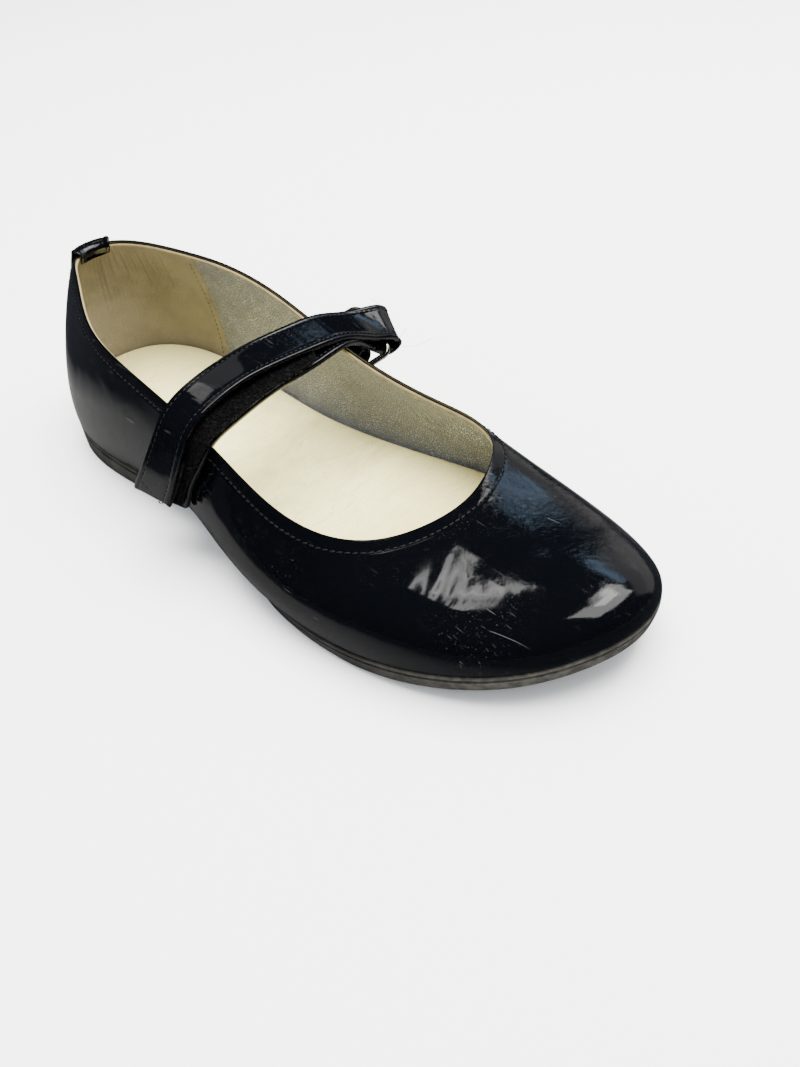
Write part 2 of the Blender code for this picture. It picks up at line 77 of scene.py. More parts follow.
def put(tree, kind, feeds=(), **settings):
    """Adds a shader node with these settings and feeds."""
    made = tree.nodes.new("ShaderNode" + kind)
    for name, value in settings.items():
        setattr(made, name, value)
    feed(made, feeds)
    return made


def between(tree, value, low, high, to_low=0.0, to_high=1.0):
    """Maps low..high of a grey value to to_low..to_high and stops at both ends."""
    feeds = {"Value": value, "From Min": low, "From Max": high, "To Min": to_low,
             "To Max": to_high}
    return put(tree, "MapRange", feeds, clamp=True).outputs[0]


def blend_colours(tree, share, first, second):
    feeds = {0: share, 6: first, 7: second}
    return put(tree, "Mix", feeds, data_type="RGBA").outputs[2]


def new_finish(name):
    """A material, its node tree, its shader and its Object coordinates."""
    finish = bpy.data.materials.new(name)
    finish.use_nodes = True
    tree = finish.node_tree
    place = tree.nodes.new("ShaderNodeTexCoord").outputs["Object"]
    return finish, tree, tree.nodes["Principled BSDF"], place


camera_data = bpy.data.cameras.new("camera")
camera_data.sensor_fit = "HORIZONTAL"
camera_data.sensor_width = CAMERA_SENSOR
camera_data.lens = CAMERA_LENS
camera_data.shift_x, camera_data.shift_y = CAMERA_SHIFT
camera_data.clip_start = 0.01
camera = bpy.data.objects.new("camera", camera_data)
bpy.context.scene.collection.objects.link(camera)
camera_back = CAMERA_RIGHT.cross(CAMERA_UP).normalized()
camera_up = camera_back.cross(CAMERA_RIGHT).normalized()
camera_turn = Matrix((CAMERA_RIGHT.normalized(), camera_up, camera_back)).transposed()
camera.matrix_world = Matrix.Translation(CAMERA_PLACE) @ camera_turn.to_4x4()
bpy.context.scene.camera = camera

bpy.ops.object.select_all(action="DESELECT")
bpy.ops.mesh.primitive_plane_add(size=FLOOR_SIZE, location=(0, 0, 0))
floor = bpy.context.object
floor.name = "floor"
pale, tree, shader, place = new_finish("pale floor")
# The floor and the room stay dim in the leather's reflections, as with black cards round them.
mirrored = put(tree, "LightPath").outputs["Is Glossy Ray"]
reach = put(tree, "VectorMath", {0: place, 1: FLOOR_CARD_MIDDLE}, operation="DISTANCE")
card = between(tree, reach.outputs["Value"], *FLOOR_CARD)
card = blend_colours(tree, card, FLOOR_NEAR, FLOOR_FAR)
feed(shader, {"Base Color": blend_colours(tree, mirrored, FLOOR_COLOUR, card), "Roughness": 0.9,
              "Specular IOR Level": 0.1})
floor.data.materials.append(pale)

world = bpy.data.worlds.new("studio")
world.use_nodes = True
tree = world.node_tree
mirrored = put(tree, "LightPath").outputs["Is Glossy Ray"]
feed(tree.nodes["Background"],
     {"Color": ROOM_COLOUR,
      "Strength": between(tree, mirrored, 0, 1, ROOM_LIGHT, ROOM_IN_LEATHER)})
bpy.context.scene.world = world

# A lamp stands `far` away, round from +X by `turn` and up by `rise` degrees, and is turned by
# `roll`. A hidden lamp lights the shoe but doesn't show in its leather.
LAMPS = table("name turn rise far wide high roll power hidden colour", [
    ("ceiling_lamp", 20, 80, 1.30, 1.20, 1.20, 0, 95.0, True, (1.0, 0.985, 0.955)),
    ("vamp_lamp", 47, 71, 1.00, 0.032, 0.23, -40, 0.115, False, (1.0, 0.99, 0.97)),
    ("vamp_core", 50.5, 70.5, 0.98, 0.020, 0.09, -43, 0.034, False, (1.0, 0.99, 0.97)),
    ("toe_lamp", -31, 59, 1.00, 0.42, 0.95, 51, 6.0, False, (1.0, 0.985, 0.96)),
    ("toe_core", -20, 59, 0.98, 0.15, 0.42, 43, 1.3, False, (1.0, 0.985, 0.96)),
    ("strap_lamp", 75, 46, 1.00, 0.13, 0.09, 20, 0.06, False, (1.0, 0.99, 0.97)),
    ("window", 8, 34, 1.30, 0.42, 0.15, -10, 0.38, False, (0.52, 0.72, 1.0)),
    ("window_low", 16, 24, 1.30, 0.06, 0.20, 60, 0.006, False, (0.50, 0.70, 1.0)),
    ("window_gap", 29, 37, 1.30, 0.09, 0.24, 0, 0.07, False, (0.55, 0.74, 1.0)),
    ("far_wall", -5, 5, 1.60, 1.18, 0.52, 0, 1.04, False, (1.0, 0.99, 0.95)),
    ("far_wall_top", -5, 22, 1.62, 1.18, 0.50, 0, 0.88, False, (1.0, 0.99, 0.95)),
    ("side_wall", 64, 38, 1.60, 0.50, 0.50, 0, 0.30, False, (1.0, 0.99, 0.96)),
])
for lamp in LAMPS:
    light_data = bpy.data.lights.new(lamp.name, "AREA")
    light_data.shape = "RECTANGLE"
    light_data.size, light_data.size_y = lamp.wide, lamp.high
    light_data.energy = lamp.power
    light_data.color = lamp.colour
    light = bpy.data.objects.new(lamp.name, light_data)
    bpy.context.scene.collection.objects.link(light)
    light.visible_glossy = not lamp.hidden
    turn, rise = math.radians(lamp.turn), math.radians(lamp.rise)
    way = Vector((math.cos(turn) * math.cos(rise), math.sin(turn) * math.cos(rise),
                  math.sin(rise)))
    light.location = LAMP_AIM + way * lamp.far
    aim = way.to_track_quat("Z", "Y") @ Quaternion((0, 0, 1), math.radians(lamp.roll))
    light.rotation_euler = aim.to_euler()

# ================================================================ outsole
# One moulded rubber sole with a low heel block, a shallow groove round its edge and fine ribs
# under it. The upper is lasted over a board and cemented down on it.
MM = 0.001
LENGTH = 215.0
HEEL_MIDDLE = 35.0
GAP = 0.3
HEEL_BREAST = 0.325          # where the heel block ends, as a share of the length
WELD = 2e-6

# The seat is the line where the upper meets the sole. Sides are + to the inner side of the foot.
SEAT = table("share lateral medial height", [
    (0.00, 0.9, 0.9, 10.3), (0.02, -14.6, 16.2, 10.1), (0.05, -21.4, 22.6, 9.6),
    (0.10, -27.0, 27.1, 8.9), (0.20, -29.8, 28.2, 7.7), (0.30, -28.8, 27.0, 6.8),
    (0.40, -29.0, 26.6, 5.9), (0.50, -34.0, 29.6, 5.2), (0.60, -39.6, 34.0, 4.9),
    (0.70, -41.4, 36.8, 5.4), (0.80, -38.6, 35.6, 7.4), (0.90, -29.5, 30.6, 10.6),
    (0.95, -20.1, 24.8, 12.5), (0.98, -10.6, 18.4, 13.9), (1.00, 4.5, 4.5, 14.8),
])
# Down the side of the sole and in under it. `drop` is a share of its height, `inset` and `taper`
# go in from its edge, and `inward` is the share of the way to the middle line.
SOLE_EDGE = table("drop inset taper inward", [
    (0.00, 1.5, 0.0, 1.0), (0.00, 1.5, 0.0, 0.5), (0.00, 1.5, 0.0, 0.0), (0.00, 0.6, 0.0, 0.0),
    (0.015, 0.2, 0.0, 0.0), (0.05, 0.02, 0.0, 0.0), (0.10, 0.0, 0.0, 0.0), (0.155, 0.03, 0.0, 0.0),
    (0.18, 0.3, 0.0, 0.0), (0.20, 0.55, 0.0, 0.0), (0.25, 0.6, 0.0, 0.0), (0.275, 0.35, 0.0, 0.0),
    (0.30, 0.05, 0.0, 0.0), (0.34, 0.0, 0.05, 0.0), (0.50, 0.0, 0.2, 0.0), (0.68, 0.0, 0.4, 0.0),
    (0.85, 0.0, 0.6, 0.0), (0.95, 0.05, 0.8, 0.0), (0.99, 0.22, 0.95, 0.0), (1.00, 0.6, 1.0, 0.0),
    (1.00, 0.6, 1.0, 0.25), (1.00, 0.6, 1.0, 0.5), (1.00, 0.6, 1.0, 0.75), (1.00, 0.6, 1.0, 1.0),
])
SOLE_LINE = table("share proud taper", [
    (0.00, 0.0, 0.2), (0.31, 0.0, 0.2), (0.40, -1.6, 0.7), (0.50, -0.8, 1.3), (0.60, 0.3, 1.3),
    (0.90, 0.3, 1.3), (1.00, 0.1, 1.3),
])
SOLE_FLOOR = table("share height", [
    (0.33, 2.9), (0.42, 2.0), (0.50, 0.9), (0.57, 0.0), (0.745, 0.0), (0.80, 1.2), (0.86, 3.3),
    (0.93, 6.0), (1.00, 9.2),
])
SOLE_STATIONS = 130          # down each side
RUBBER = (0.0130, 0.0128, 0.0115, 1)
RUBBER_RUBBED = (0.052, 0.048, 0.039, 1)


def smooth(knots, values, where, closed=False):
    """Cubic curve through `values` at `knots`, read at `where`. A closed one repeats its
    first value at the last knot."""
    knots, values = np.asarray(knots, float), np.asarray(values, float)
    where = np.atleast_1d(np.asarray(where, float))
    count = len(knots) - 1
    if closed:
        where = (where - knots[0]) % (knots[-1] - knots[0]) + knots[0]
    step = np.diff(knots)
    rate = np.diff(values, axis=0) / step[:, None]
    size = count if closed else count + 1
    matrix = np.zeros((size, size))
    right = np.zeros((size, values.shape[1]))
    for row in range(size):
        if not closed and row in (0, count):
            matrix[row, row] = 1.0
            continue
        before, after = (row - 1) % count, row % count
        matrix[row, (row - 1) % size] += step[before]
        matrix[row, row] += 2 * (step[before] + step[after])
        matrix[row, (row + 1) % size] += step[after]
        right[row] = 6 * (rate[after] - rate[before])
    bend = np.linalg.solve(matrix, right)
    if closed:
        bend = np.vstack([bend, bend[:1]])
    span = np.clip(np.searchsorted(knots, where, side="right") - 1, 0, count - 1)
    h = step[span][:, None]
    b = (where - knots[span])[:, None] / h
    a = 1 - b
    return (a * values[span] + b * values[span + 1]
            + ((a**3 - a) * bend[span] + (b**3 - b) * bend[span + 1]) * h**2 / 6)


def round_shoe(turns, lateral, medial):
    """Rows for one trip round the shoe: back seam, outer side, toe, inner side, back seam."""
    turns, lateral, medial = (np.array(rows, float) for rows in (turns, lateral, medial))
    return np.concatenate([turns, 2 - turns[-2::-1]]), np.vstack([lateral, medial[-2::-1]])


def share_to_turn(share):
    return np.arccos(1 - 2 * np.asarray(share)) / math.pi


SEAT_KNOTS, SEAT_ROWS = round_shoe(
    share_to_turn([row.share for row in SEAT]),
    [(row.share * LENGTH, row.lateral, row.height) for row in SEAT],
    [(row.share * LENGTH, row.medial, row.height) for row in SEAT])


def seat_line(turn):
    return smooth(SEAT_KNOTS, SEAT_ROWS, turn, closed=True)


def outward(line, turn):
    """Level unit vectors that point away from the shoe's middle, across a line round it."""
    delta = 1e-3
    way = line(np.asarray(turn) + delta) - line(np.asarray(turn) - delta)
    out = np.column_stack([way[:, 1], -way[:, 0], np.zeros(len(way))])
    return out / np.linalg.norm(out, axis=1)[:, None]


def to_world(points):
    """Shoe millimetres (along, side, height) to the frame's metres."""
    points = np.asarray(points, float)
    return np.column_stack([points[:, 1], HEEL_MIDDLE - points[:, 0], points[:, 2]]) * MM


def finish_faces(weld):
    """Turns the active piece's faces outwards and shades them smooth."""
    bpy.ops.object.mode_set(mode="EDIT")
    bpy.ops.mesh.select_all(action="SELECT")
    if weld:
        bpy.ops.mesh.remove_doubles(threshold=WELD)
    bpy.ops.mesh.normals_make_consistent(inside=False)
    bpy.ops.object.mode_set(mode="OBJECT")
    bpy.ops.object.shade_smooth()


def lay_grid(name, form):
    """A flat grid, every corner of which is moved to its place on a form. `form` holds the
    places in shoe millimetres, [row, column, 3]. Edges that meet are welded."""
    form = np.asarray(form, float)
    rows, columns = form.shape[0] - 1, form.shape[1] - 1
    bpy.ops.object.select_all(action="DESELECT")
    bpy.ops.mesh.primitive_grid_add(x_subdivisions=columns, y_subdivisions=rows, size=1)
    piece = bpy.context.object
    piece.name = piece.data.name = name
    flat = np.empty(len(piece.data.vertices) * 3)
    piece.data.vertices.foreach_get("co", flat)
    share = flat.reshape(-1, 3)[:, :2] + 0.5
    column = np.rint(share[:, 0] * columns).astype(int)
    row = np.rint(share[:, 1] * rows).astype(int)
    piece.data.vertices.foreach_set("co", to_world(form[row, column]).ravel())
    finish_faces(weld=True)
    return piece


def noise(tree, place, scale, detail=2.0, roughness=0.5, distortion=0.0):
    """A noise node's grey output, about 0.5 with swings of 0.25."""
    feeds = {"Vector": place, "Scale": scale, "Detail": detail, "Roughness": roughness,
             "Distortion": distortion}
    return put(tree, "TexNoise", feeds).outputs["Fac"]


def maths(operation):
    """A function that adds a Math node and gives its output."""
    return lambda tree, first, second=0.0: put(
        tree, "Math", {0: first, 1: second}, operation=operation).outputs[0]


times, plus, most = maths("MULTIPLY"), maths("ADD"), maths("MAXIMUM")


def new_group(name, inputs, outputs):
    """An empty shader node group. Inputs and outputs are (name, kind) pairs."""
    tree = bpy.data.node_groups.new(name, "ShaderNodeTree")
    for label, kind in inputs:
        tree.interface.new_socket(label, in_out="INPUT", socket_type="NodeSocket" + kind)
    for label, kind in outputs:
        tree.interface.new_socket(label, in_out="OUTPUT", socket_type="NodeSocket" + kind)
    return tree, tree.nodes.new("NodeGroupInput").outputs, tree.nodes.new("NodeGroupOutput")


def use_group(tree, group, **feeds):
    return put(tree, "Group", feeds, node_tree=group).outputs


def bump(tree, height, distance):
    """A normal from a height. `distance` is how deep a height of 1 is, in metres."""
    return put(tree, "Bump", {"Height": height, "Distance": distance}).outputs["Normal"]


# Dust and fine scratches from handling, on most finishes of the shoe.
handling, given, wanted = new_group(
    "handling", [("Place", "Vector"), ("Dust", "Float"), ("Scratches", "Float")],
    [("Dust", "Float"), ("Scratches", "Float")])
place = given["Place"]
specks = between(handling, noise(handling, place, 2600, 1.0), 0.69, 0.78)
patches = between(handling, noise(handling, place, 55, 3.0, 0.6), 0.46, 0.66)
dust = times(handling, times(handling, specks, patches), given["Dust"])
streaks = []
for angle, stretch in ((0.5, 2600), (-0.8, 3000)):
    turned = put(handling, "Mapping", {"Vector": place, "Rotation": (0.2, 0.1, angle),
                                       "Scale": (stretch, 170, 650)}).outputs[0]
    streaks.append(between(handling, noise(handling, turned, 1.0, 0.0), 0.79, 0.85, 0.0, 0.6))
scratches = times(handling, times(handling, most(handling, *streaks), patches),
                  given["Scratches"])
feed(wanted, {"Dust": dust, "Scratches": scratches})

# Stations round the sole, with a close pair on each side at the front of the heel.
BREAST_STEP = 0.006
breast = share_to_turn([HEEL_BREAST, HEEL_BREAST + BREAST_STEP])
even = np.arange(1, SOLE_STATIONS) / SOLE_STATIONS
side = np.sort(np.concatenate([even[np.abs(even - breast.mean()) > BREAST_STEP], breast]))
sole_turns = np.concatenate([[0.0], side, [1.0], 2 - side[::-1], [2.0]])
sole_line, sole_out = seat_line(sole_turns), outward(seat_line, sole_turns)
sole_share = sole_line[:, 0] / LENGTH
knots, prouds, tapers = np.array(SOLE_LINE).T
proud, taper = np.interp(sole_share, knots, prouds), np.interp(sole_share, knots, tapers)
under = np.interp(sole_share, *np.array(SOLE_FLOOR).T)
under[sole_share < HEEL_BREAST + BREAST_STEP / 2] = 0.0
sole_top = sole_line[:, 2] - GAP
sole_form = []
for row in SOLE_EDGE:
    ring = sole_line + (proud - row.inset - row.taper * taper)[:, None] * sole_out
    ring[:, 2] = sole_top + row.drop * (under - sole_top)
    middle = (ring + ring[::-1]) / 2
    sole_form.append(ring + row.inward * (middle - ring))
outsole = lay_grid("outsole_rubber", sole_form)
bpy.ops.object.shade_smooth_by_angle(angle=math.radians(38))

rubber, tree, shader, place = new_finish("black rubber")
marks = use_group(tree, handling, Place=place, Dust=0.9, Scratches=0.8)
rubbed = between(tree, noise(tree, place, 140, 4.0, 0.65), 0.42, 0.66)
grime = most(tree, times(tree, rubbed, 0.5), marks["Dust"])
# The toe end has scuffed along the ground and is dustier.
lengthways = put(tree, "SeparateXYZ", {0: place}).outputs["Y"]
toe_dust = times(tree, between(tree, lengthways, -0.115, -0.160),
                 between(tree, noise(tree, place, 420, 3.0, 0.6), 0.40, 0.60, 0.35, 1.0))
ribs = put(tree, "TexWave", {"Vector": place, "Scale": 95.0, "Distortion": 0.0},
           wave_type="BANDS", bands_direction="Y").outputs["Fac"]
aim = put(tree, "SeparateXYZ", {0: put(tree, "NewGeometry").outputs["Normal"]}).outputs["Z"]
tread = times(tree, ribs, between(tree, aim, -0.95, -0.85, 1.0, 0.0))
relief = plus(tree, times(tree, noise(tree, place, 1900, 3.0, 0.6), 0.12), tread)
feed(shader, {"Base Color": blend_colours(tree, most(tree, grime, toe_dust), RUBBER,
                                          RUBBER_RUBBED),
              "Roughness": between(tree, rubbed, 0, 1, 0.46, 0.66),
              "Normal": bump(tree, relief, 0.0006), "Specular IOR Level": 0.35})
outsole.data.materials.append(rubber)
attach(outsole, "root")
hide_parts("outsole")

# ================================================================ upper
# Black patent leather, lasted over the foot shape, in one wall that is open at the collar and
# underneath. Its top edge is rolled and stitched down, and walking has creased it over the toes.
WALL = 1.8
SHELL = 1.0                  # the patent leather's share of the wall
UPPER_STATIONS = 420

# The topline is the collar's edge. `turn` runs from 0 at the back seam to 1 at the throat.
COLLAR = table("turn along lateral medial lateral_height medial_height", [
    (0.000, 1.6, 4.2, 4.2, 54.4, 54.4), (0.090, 5.8, -4.4, 13.0, 54.1, 54.3),
    (0.170, 16.6, -11.0, 18.6, 53.0, 53.9), (0.250, 31.1, -19.0, 23.1, 51.0, 52.5),
    (0.325, 48.0, -25.6, 26.4, 48.6, 50.6), (0.390, 67.3, -28.3, 27.3, 45.5, 47.0),
    (0.450, 87.3, -29.2, 26.4, 40.8, 41.8), (0.515, 107.0, -30.9, 26.0, 35.4, 36.8),
    (0.585, 124.8, -32.8, 27.4, 31.2, 33.0), (0.670, 140.5, -32.0, 28.8, 29.0, 31.0),
    (0.770, 152.2, -26.9, 26.0, 28.4, 30.0), (0.880, 159.8, -16.8, 16.7, 28.2, 29.2),
    (1.000, 163.6, 0.3, 0.3, 28.6, 28.6),
])
# The wall leaves the sole `rise` high and `bulge` outwards, and comes to the topline at `slope`
# degrees below level, with its last bend `reach` long.
WALL_SHAPE = table("turn rise bulge slope reach medial_rise medial_bulge medial_slope medial_reach", [
    (0.000, 16, 0.2, 62, 19, 16, 0.2, 62, 19), (0.090, 16, 0.2, 62, 17, 16, 0.4, 64, 18),
    (0.170, 16, 1.0, 63, 16, 16, 1.2, 65, 17), (0.250, 15, 2.6, 68, 15, 15, 2.6, 72, 15),
    (0.325, 13, 6.0, 76, 13, 14, 4.5, 78, 13), (0.390, 11, 8.6, 80, 13, 13, 6.0, 80, 13),
    (0.450, 10, 10.2, 80, 12, 12, 6.5, 80, 12), (0.515, 9, 10.6, 76, 10, 11, 5.5, 76, 10),
    (0.585, 9, 7.4, 68, 9, 10, 3.5, 70, 8), (0.670, 10, 3.0, 52, 10, 8, 1.4, 66, 7),
    (0.770, 12, 1.6, 34, 14, 7, 0.4, 58, 8), (0.880, 13, 1.4, 22, 22, 9, 0.4, 42, 12),
    (1.000, 14, 1.2, 15, 27, 14, 1.2, 15, 27),
])
# The rolled top edge, from the flat leather over the top and down inside: mm below the topline
# and mm off the outer face.
ROLLED_EDGE = table("below lift", [
    (4.2, 0.00), (3.7, 0.00), (3.3, -0.06), (3.0, -0.14), (2.7, -0.12), (2.3, -0.12), (1.8, -0.15),
    (1.3, -0.20), (0.8, -0.27), (0.3, -0.34), (-0.12, -0.42), (-0.38, -0.50), (-0.54, -0.61),
    (-0.58, -0.74), (-0.48, -0.87), (-0.2, -0.95), (0.8, -SHELL), (4.0, -SHELL),
])
# Creases of the worn leather, on lines over it: a soft trough `deep` mm with a ridge on each
# side. They stand for the flex of the toes, the worn patch beside the throat, and the quarter.
CREASES = table("along side to_along to_side deep wide", [
    (160.5, -38.0, 166.5, -27.5, 0.020, 1.7), (164.5, -38.5, 169.5, -32.0, 0.014, 1.3),
    (158.0, 37.0, 172.0, 22.0, 0.030, 1.7), (164.0, 36.0, 176.0, 24.0, 0.018, 1.4),
    (168.5, -33.0, 171.0, -14.0, 0.004, 0.5), (170.2, -32.0, 172.4, -15.5, 0.004, 0.45),
    (171.8, -31.0, 173.6, -17.0, 0.003, 0.45), (166.5, -24.0, 167.5, -9.0, 0.012, 0.6),
    (176.0, -32.5, 170.0, -10.5, 0.030, 1.0), (171.0, -34.0, 166.6, -14.0, 0.040, 2.5),
    (176.5, -26.5, 193.0, -16.5, 0.014, 1.1), (205.5, -6.0, 209.0, 8.5, 0.034, 0.8),
    (202.5, -7.0, 206.5, 6.0, 0.020, 0.7), (101.0, -33.0, 112.0, -38.0, 0.05, 1.6),
    (104.0, -30.5, 124.0, -34.5, 0.03, 1.4),
])
CREASE_RIDGE = 0.55          # of the trough's depth
CREASE_PAST = 0.12           # how far a crease runs out past its ends, as a share of its length
CREASE_FADE = 9              # it fades out over a ninth of the wall at the sole and the topline
WALL_ROWS_UP, SHELL_ROWS = 62, 12
SHELL_TOP = 8.0              # mm below the topline where the shell's plain inner face starts
PATENT = (0.0009, 0.0011, 0.0017, 1)
PATENT_DUST = (0.040, 0.042, 0.045, 1)
SCRATCH_WIDTH = 0.00010
LONG_SCRATCHES = [((-0.0248, -0.1560), (-0.0215, -0.1663)),
                  ((0.0122, -0.1452), (0.0130, -0.1500))]

COLLAR_KNOTS, COLLAR_ROWS = round_shoe(
    [row.turn for row in COLLAR],
    [(row.along, row.lateral, row.lateral_height) for row in COLLAR],
    [(row.along, row.medial, row.medial_height) for row in COLLAR])
WALL_KNOTS, WALL_ROWS = round_shoe([row.turn for row in WALL_SHAPE],
                                   [row[1:5] for row in WALL_SHAPE],
                                   [row[5:9] for row in WALL_SHAPE])


def collar_line(turn):
    return smooth(COLLAR_KNOTS, COLLAR_ROWS, turn, closed=True)


def upper_skin(turn, rise):
    """Points of the upper's outer face. Turn goes round (0 to 2), rise goes from 0 at the sole
    to 1 at the topline."""
    turn, rise = np.broadcast_arrays(np.atleast_1d(turn).astype(float), rise)
    seat, top = seat_line(turn), collar_line(turn)
    out_low, out_high = outward(seat_line, turn), outward(collar_line, turn)
    shape = smooth(WALL_KNOTS, WALL_ROWS, turn, closed=True)
    up = np.array([0.0, 0.0, 1.0])
    lower = seat + shape[:, :1] * up + shape[:, 1:2] * out_low
    slope = np.radians(shape[:, 2:3])
    higher = top + shape[:, 3:4] * (np.cos(slope) * out_high - np.sin(slope) * up)
    t = rise[:, None]
    return ((1 - t)**3 * seat + 3 * t * (1 - t)**2 * lower
            + 3 * t**2 * (1 - t) * higher + t**3 * top)


def upper_normal(turn, rise):
    turn, rise = np.broadcast_arrays(np.atleast_1d(turn).astype(float), rise)
    delta = 1e-3
    across = upper_skin(turn + delta, rise) - upper_skin(turn - delta, rise)
    along = upper_skin(turn, rise + delta) - upper_skin(turn, np.maximum(rise - delta, 0))
    normal = np.cross(across, along)
    return normal / np.linalg.norm(normal, axis=1)[:, None]


def upper_face(turn, rise, lift):
    """Points `lift` mm outside the upper's outer face; a minus sign is inside."""
    lift = np.asarray(lift, float)
    return upper_skin(turn, rise) + lift[..., None] * upper_normal(turn, rise)


def below_topline(turn, below):
    """The rise that is `below` mm down the wall from the topline."""
    near = 0.05
    length = np.linalg.norm(upper_skin(turn, 1.0) - upper_skin(turn, 1.0 - near), axis=1) / near
    return 1.0 - below / length


def crease_lift(points):
    """How far the worn leather stands off its smooth form at these points."""
    lift = np.zeros(len(points))
    for crease in CREASES:
        start = np.array([crease.along, crease.side])
        way = np.array([crease.to_along, crease.to_side]) - start
        length = np.linalg.norm(way)
        way = way / length
        off = points[:, :2] - start
        gone = (off @ way) / length
        gap = off @ np.array([-way[1], way[0]])
        gap = gap + 0.6 * crease.wide * np.sin(gone * 5.0 + crease.along)
        ends = np.clip((gone + CREASE_PAST) / (1 + 2 * CREASE_PAST), 0, 1)
        ends = np.maximum(np.sin(np.pi * ends), 0)**0.8
        ridge = np.exp(-((np.abs(gap) - 2.0 * crease.wide) / (1.1 * crease.wide))**2)
        lift += crease.deep * ends * (CREASE_RIDGE * ridge - np.exp(-(gap / crease.wide)**2))
    return lift


upper_turns = np.linspace(0, 2, UPPER_STATIONS + 1)
wall_top = below_topline(upper_turns, ROLLED_EDGE[0].below + 0.8)
upper_rows = [(share * wall_top, 0.0) for share in np.linspace(0, 1, WALL_ROWS_UP)]
upper_rows += [(below_topline(upper_turns, row.below), row.lift) for row in ROLLED_EDGE]
upper_rows += [(share * below_topline(upper_turns, SHELL_TOP), -SHELL)
               for share in np.linspace(1, 0, SHELL_ROWS)]
upper_form = []
for rise, lift in upper_rows:
    ring = upper_skin(upper_turns, rise)
    # The creases fade out towards the sole and the topline, and don't reach the inner face.
    if lift > -0.9 * SHELL:
        fade = np.clip((1 - rise) * CREASE_FADE, 0, 1) * np.clip(rise * CREASE_FADE, 0, 1)
        lift = lift + crease_lift(ring) * fade
    upper_form.append(upper_face(upper_turns, rise, lift))
upper_form[-1][:, 2] = upper_form[0][:, 2]
upper_form.append(upper_form[0])
upper = lay_grid("upper_patent", upper_form)

# The mirror of patent leather is never quite flat: broad swells, a finer peel and fine pores.
patent_skin, given, wanted = new_group(
    "patent_skin", [("Place", "Vector"), ("Swell", "Float"), ("Peel", "Float")],
    [("Height", "Float")])
place = given["Place"]
swell = noise(patent_skin, place, 95, 3.0, 0.28, 0.6)
peel = noise(patent_skin, place, 620, 4.0, 0.62, 0.8)
pores = noise(patent_skin, place, 2600, 1.0)
across = put(patent_skin, "SeparateXYZ", {0: place}).outputs["X"]
rough_spots = between(patent_skin, noise(patent_skin, place, 48, 2.0, 0.5), 0.42, 0.62, 0.35, 1.0)
rough_spots = times(patent_skin, rough_spots,
                    between(patent_skin, across, -0.012, 0.010, 0.10, 1.5))
peel = times(patent_skin, times(patent_skin, peel, rough_spots), given["Peel"])
height = plus(patent_skin, times(patent_skin, swell, given["Swell"]), peel)
feed(wanted, {"Height": plus(patent_skin, height, times(patent_skin, pores, 0.004))})


def hairline(tree, place, start, end, wide):
    """A mask for one straight scratch that runs, seen from above, between two places."""
    way = Vector(end) - Vector(start)
    length = way.length
    way.normalize()
    off = put(tree, "VectorMath", {0: place, 1: (*start, 0.0)}, operation="SUBTRACT").outputs[0]
    gone, aside = (put(tree, "VectorMath", {0: off, 1: (*way_on, 0.0)},
                       operation="DOT_PRODUCT").outputs["Value"]
                   for way_on in ((way.x, way.y), (-way.y, way.x)))
    thin = between(tree, maths("ABSOLUTE")(tree, aside), wide, 0.3 * wide)
    ends = times(tree, between(tree, gone, 0.0, 0.15 * length),
                 between(tree, gone, length, 0.6 * length))
    return times(tree, thin, ends)


def patent_leather(name, swell_depth, peel_depth, dusty, scratched=()):
    """Glossy patent leather, its swells and peel as shares of a tenth of a millimetre."""
    finish, tree, shader, place = new_finish(name)
    marks = use_group(tree, handling, Place=place, Dust=dusty, Scratches=dusty)
    skin = use_group(tree, patent_skin, Place=place, Swell=swell_depth, Peel=peel_depth)
    smears = between(tree, noise(tree, place, 70, 5.0, 0.7, 1.2), 0.45, 0.75)
    worn = most(tree, marks["Dust"], marks["Scratches"])
    for start, end in scratched:
        worn = most(tree, worn, hairline(tree, place, start, end, SCRATCH_WIDTH))
    gloss = plus(tree, between(tree, smears, 0, 1, 0.05, 0.13), times(tree, worn, 0.4))
    height = plus(tree, skin["Height"], times(tree, marks["Scratches"], -0.08))
    feed(shader, {"Base Color": blend_colours(tree, worn, PATENT, PATENT_DUST),
                  "Roughness": gloss, "Normal": bump(tree, height, 0.0001), "IOR": 1.52})
    return finish


upper.data.materials.append(patent_leather("black patent leather", 1.6, 0.75, 0.8,
                                           LONG_SCRATCHES))
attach(upper, "root")
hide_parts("upper")

# ================================================================ topline stitching
# One row of black waxed thread, lockstitched 3 mm under the rolled edge all the way round from
# one side of the back strip to the other.
THREAD = (0.0045, 0.0045, 0.005, 1)
THREAD_WORN = (0.010, 0.010, 0.011, 1)
STITCH_STEP = 1.95
STITCH_SIZE = (1.55, 0.56, 0.50)      # length, width, height
STITCH_LEAN, STITCH_STRAY = 0.10, 0.05
STITCH_INSET = 1.7           # from a strip's edge
SEAM_ENDS, SEAM_BELOW = (0.075, 1.925), 3.0


def stitch_form():
    """One stitch lying along X: its corner places and its faces."""
    bpy.ops.object.select_all(action="DESELECT")
    bpy.ops.mesh.primitive_uv_sphere_add(segments=6, ring_count=5, radius=0.5,
                                         rotation=(0, math.pi / 2, 0))
    bead = bpy.context.object
    bpy.ops.object.transform_apply(location=True, rotation=True, scale=True)
    places = np.array([corner.co for corner in bead.data.vertices])
    faces = [list(face.vertices) for face in bead.data.polygons]
    bpy.data.meshes.remove(bead.data)
    return places, faces


STITCH_PLACES, STITCH_FACES = stitch_form()


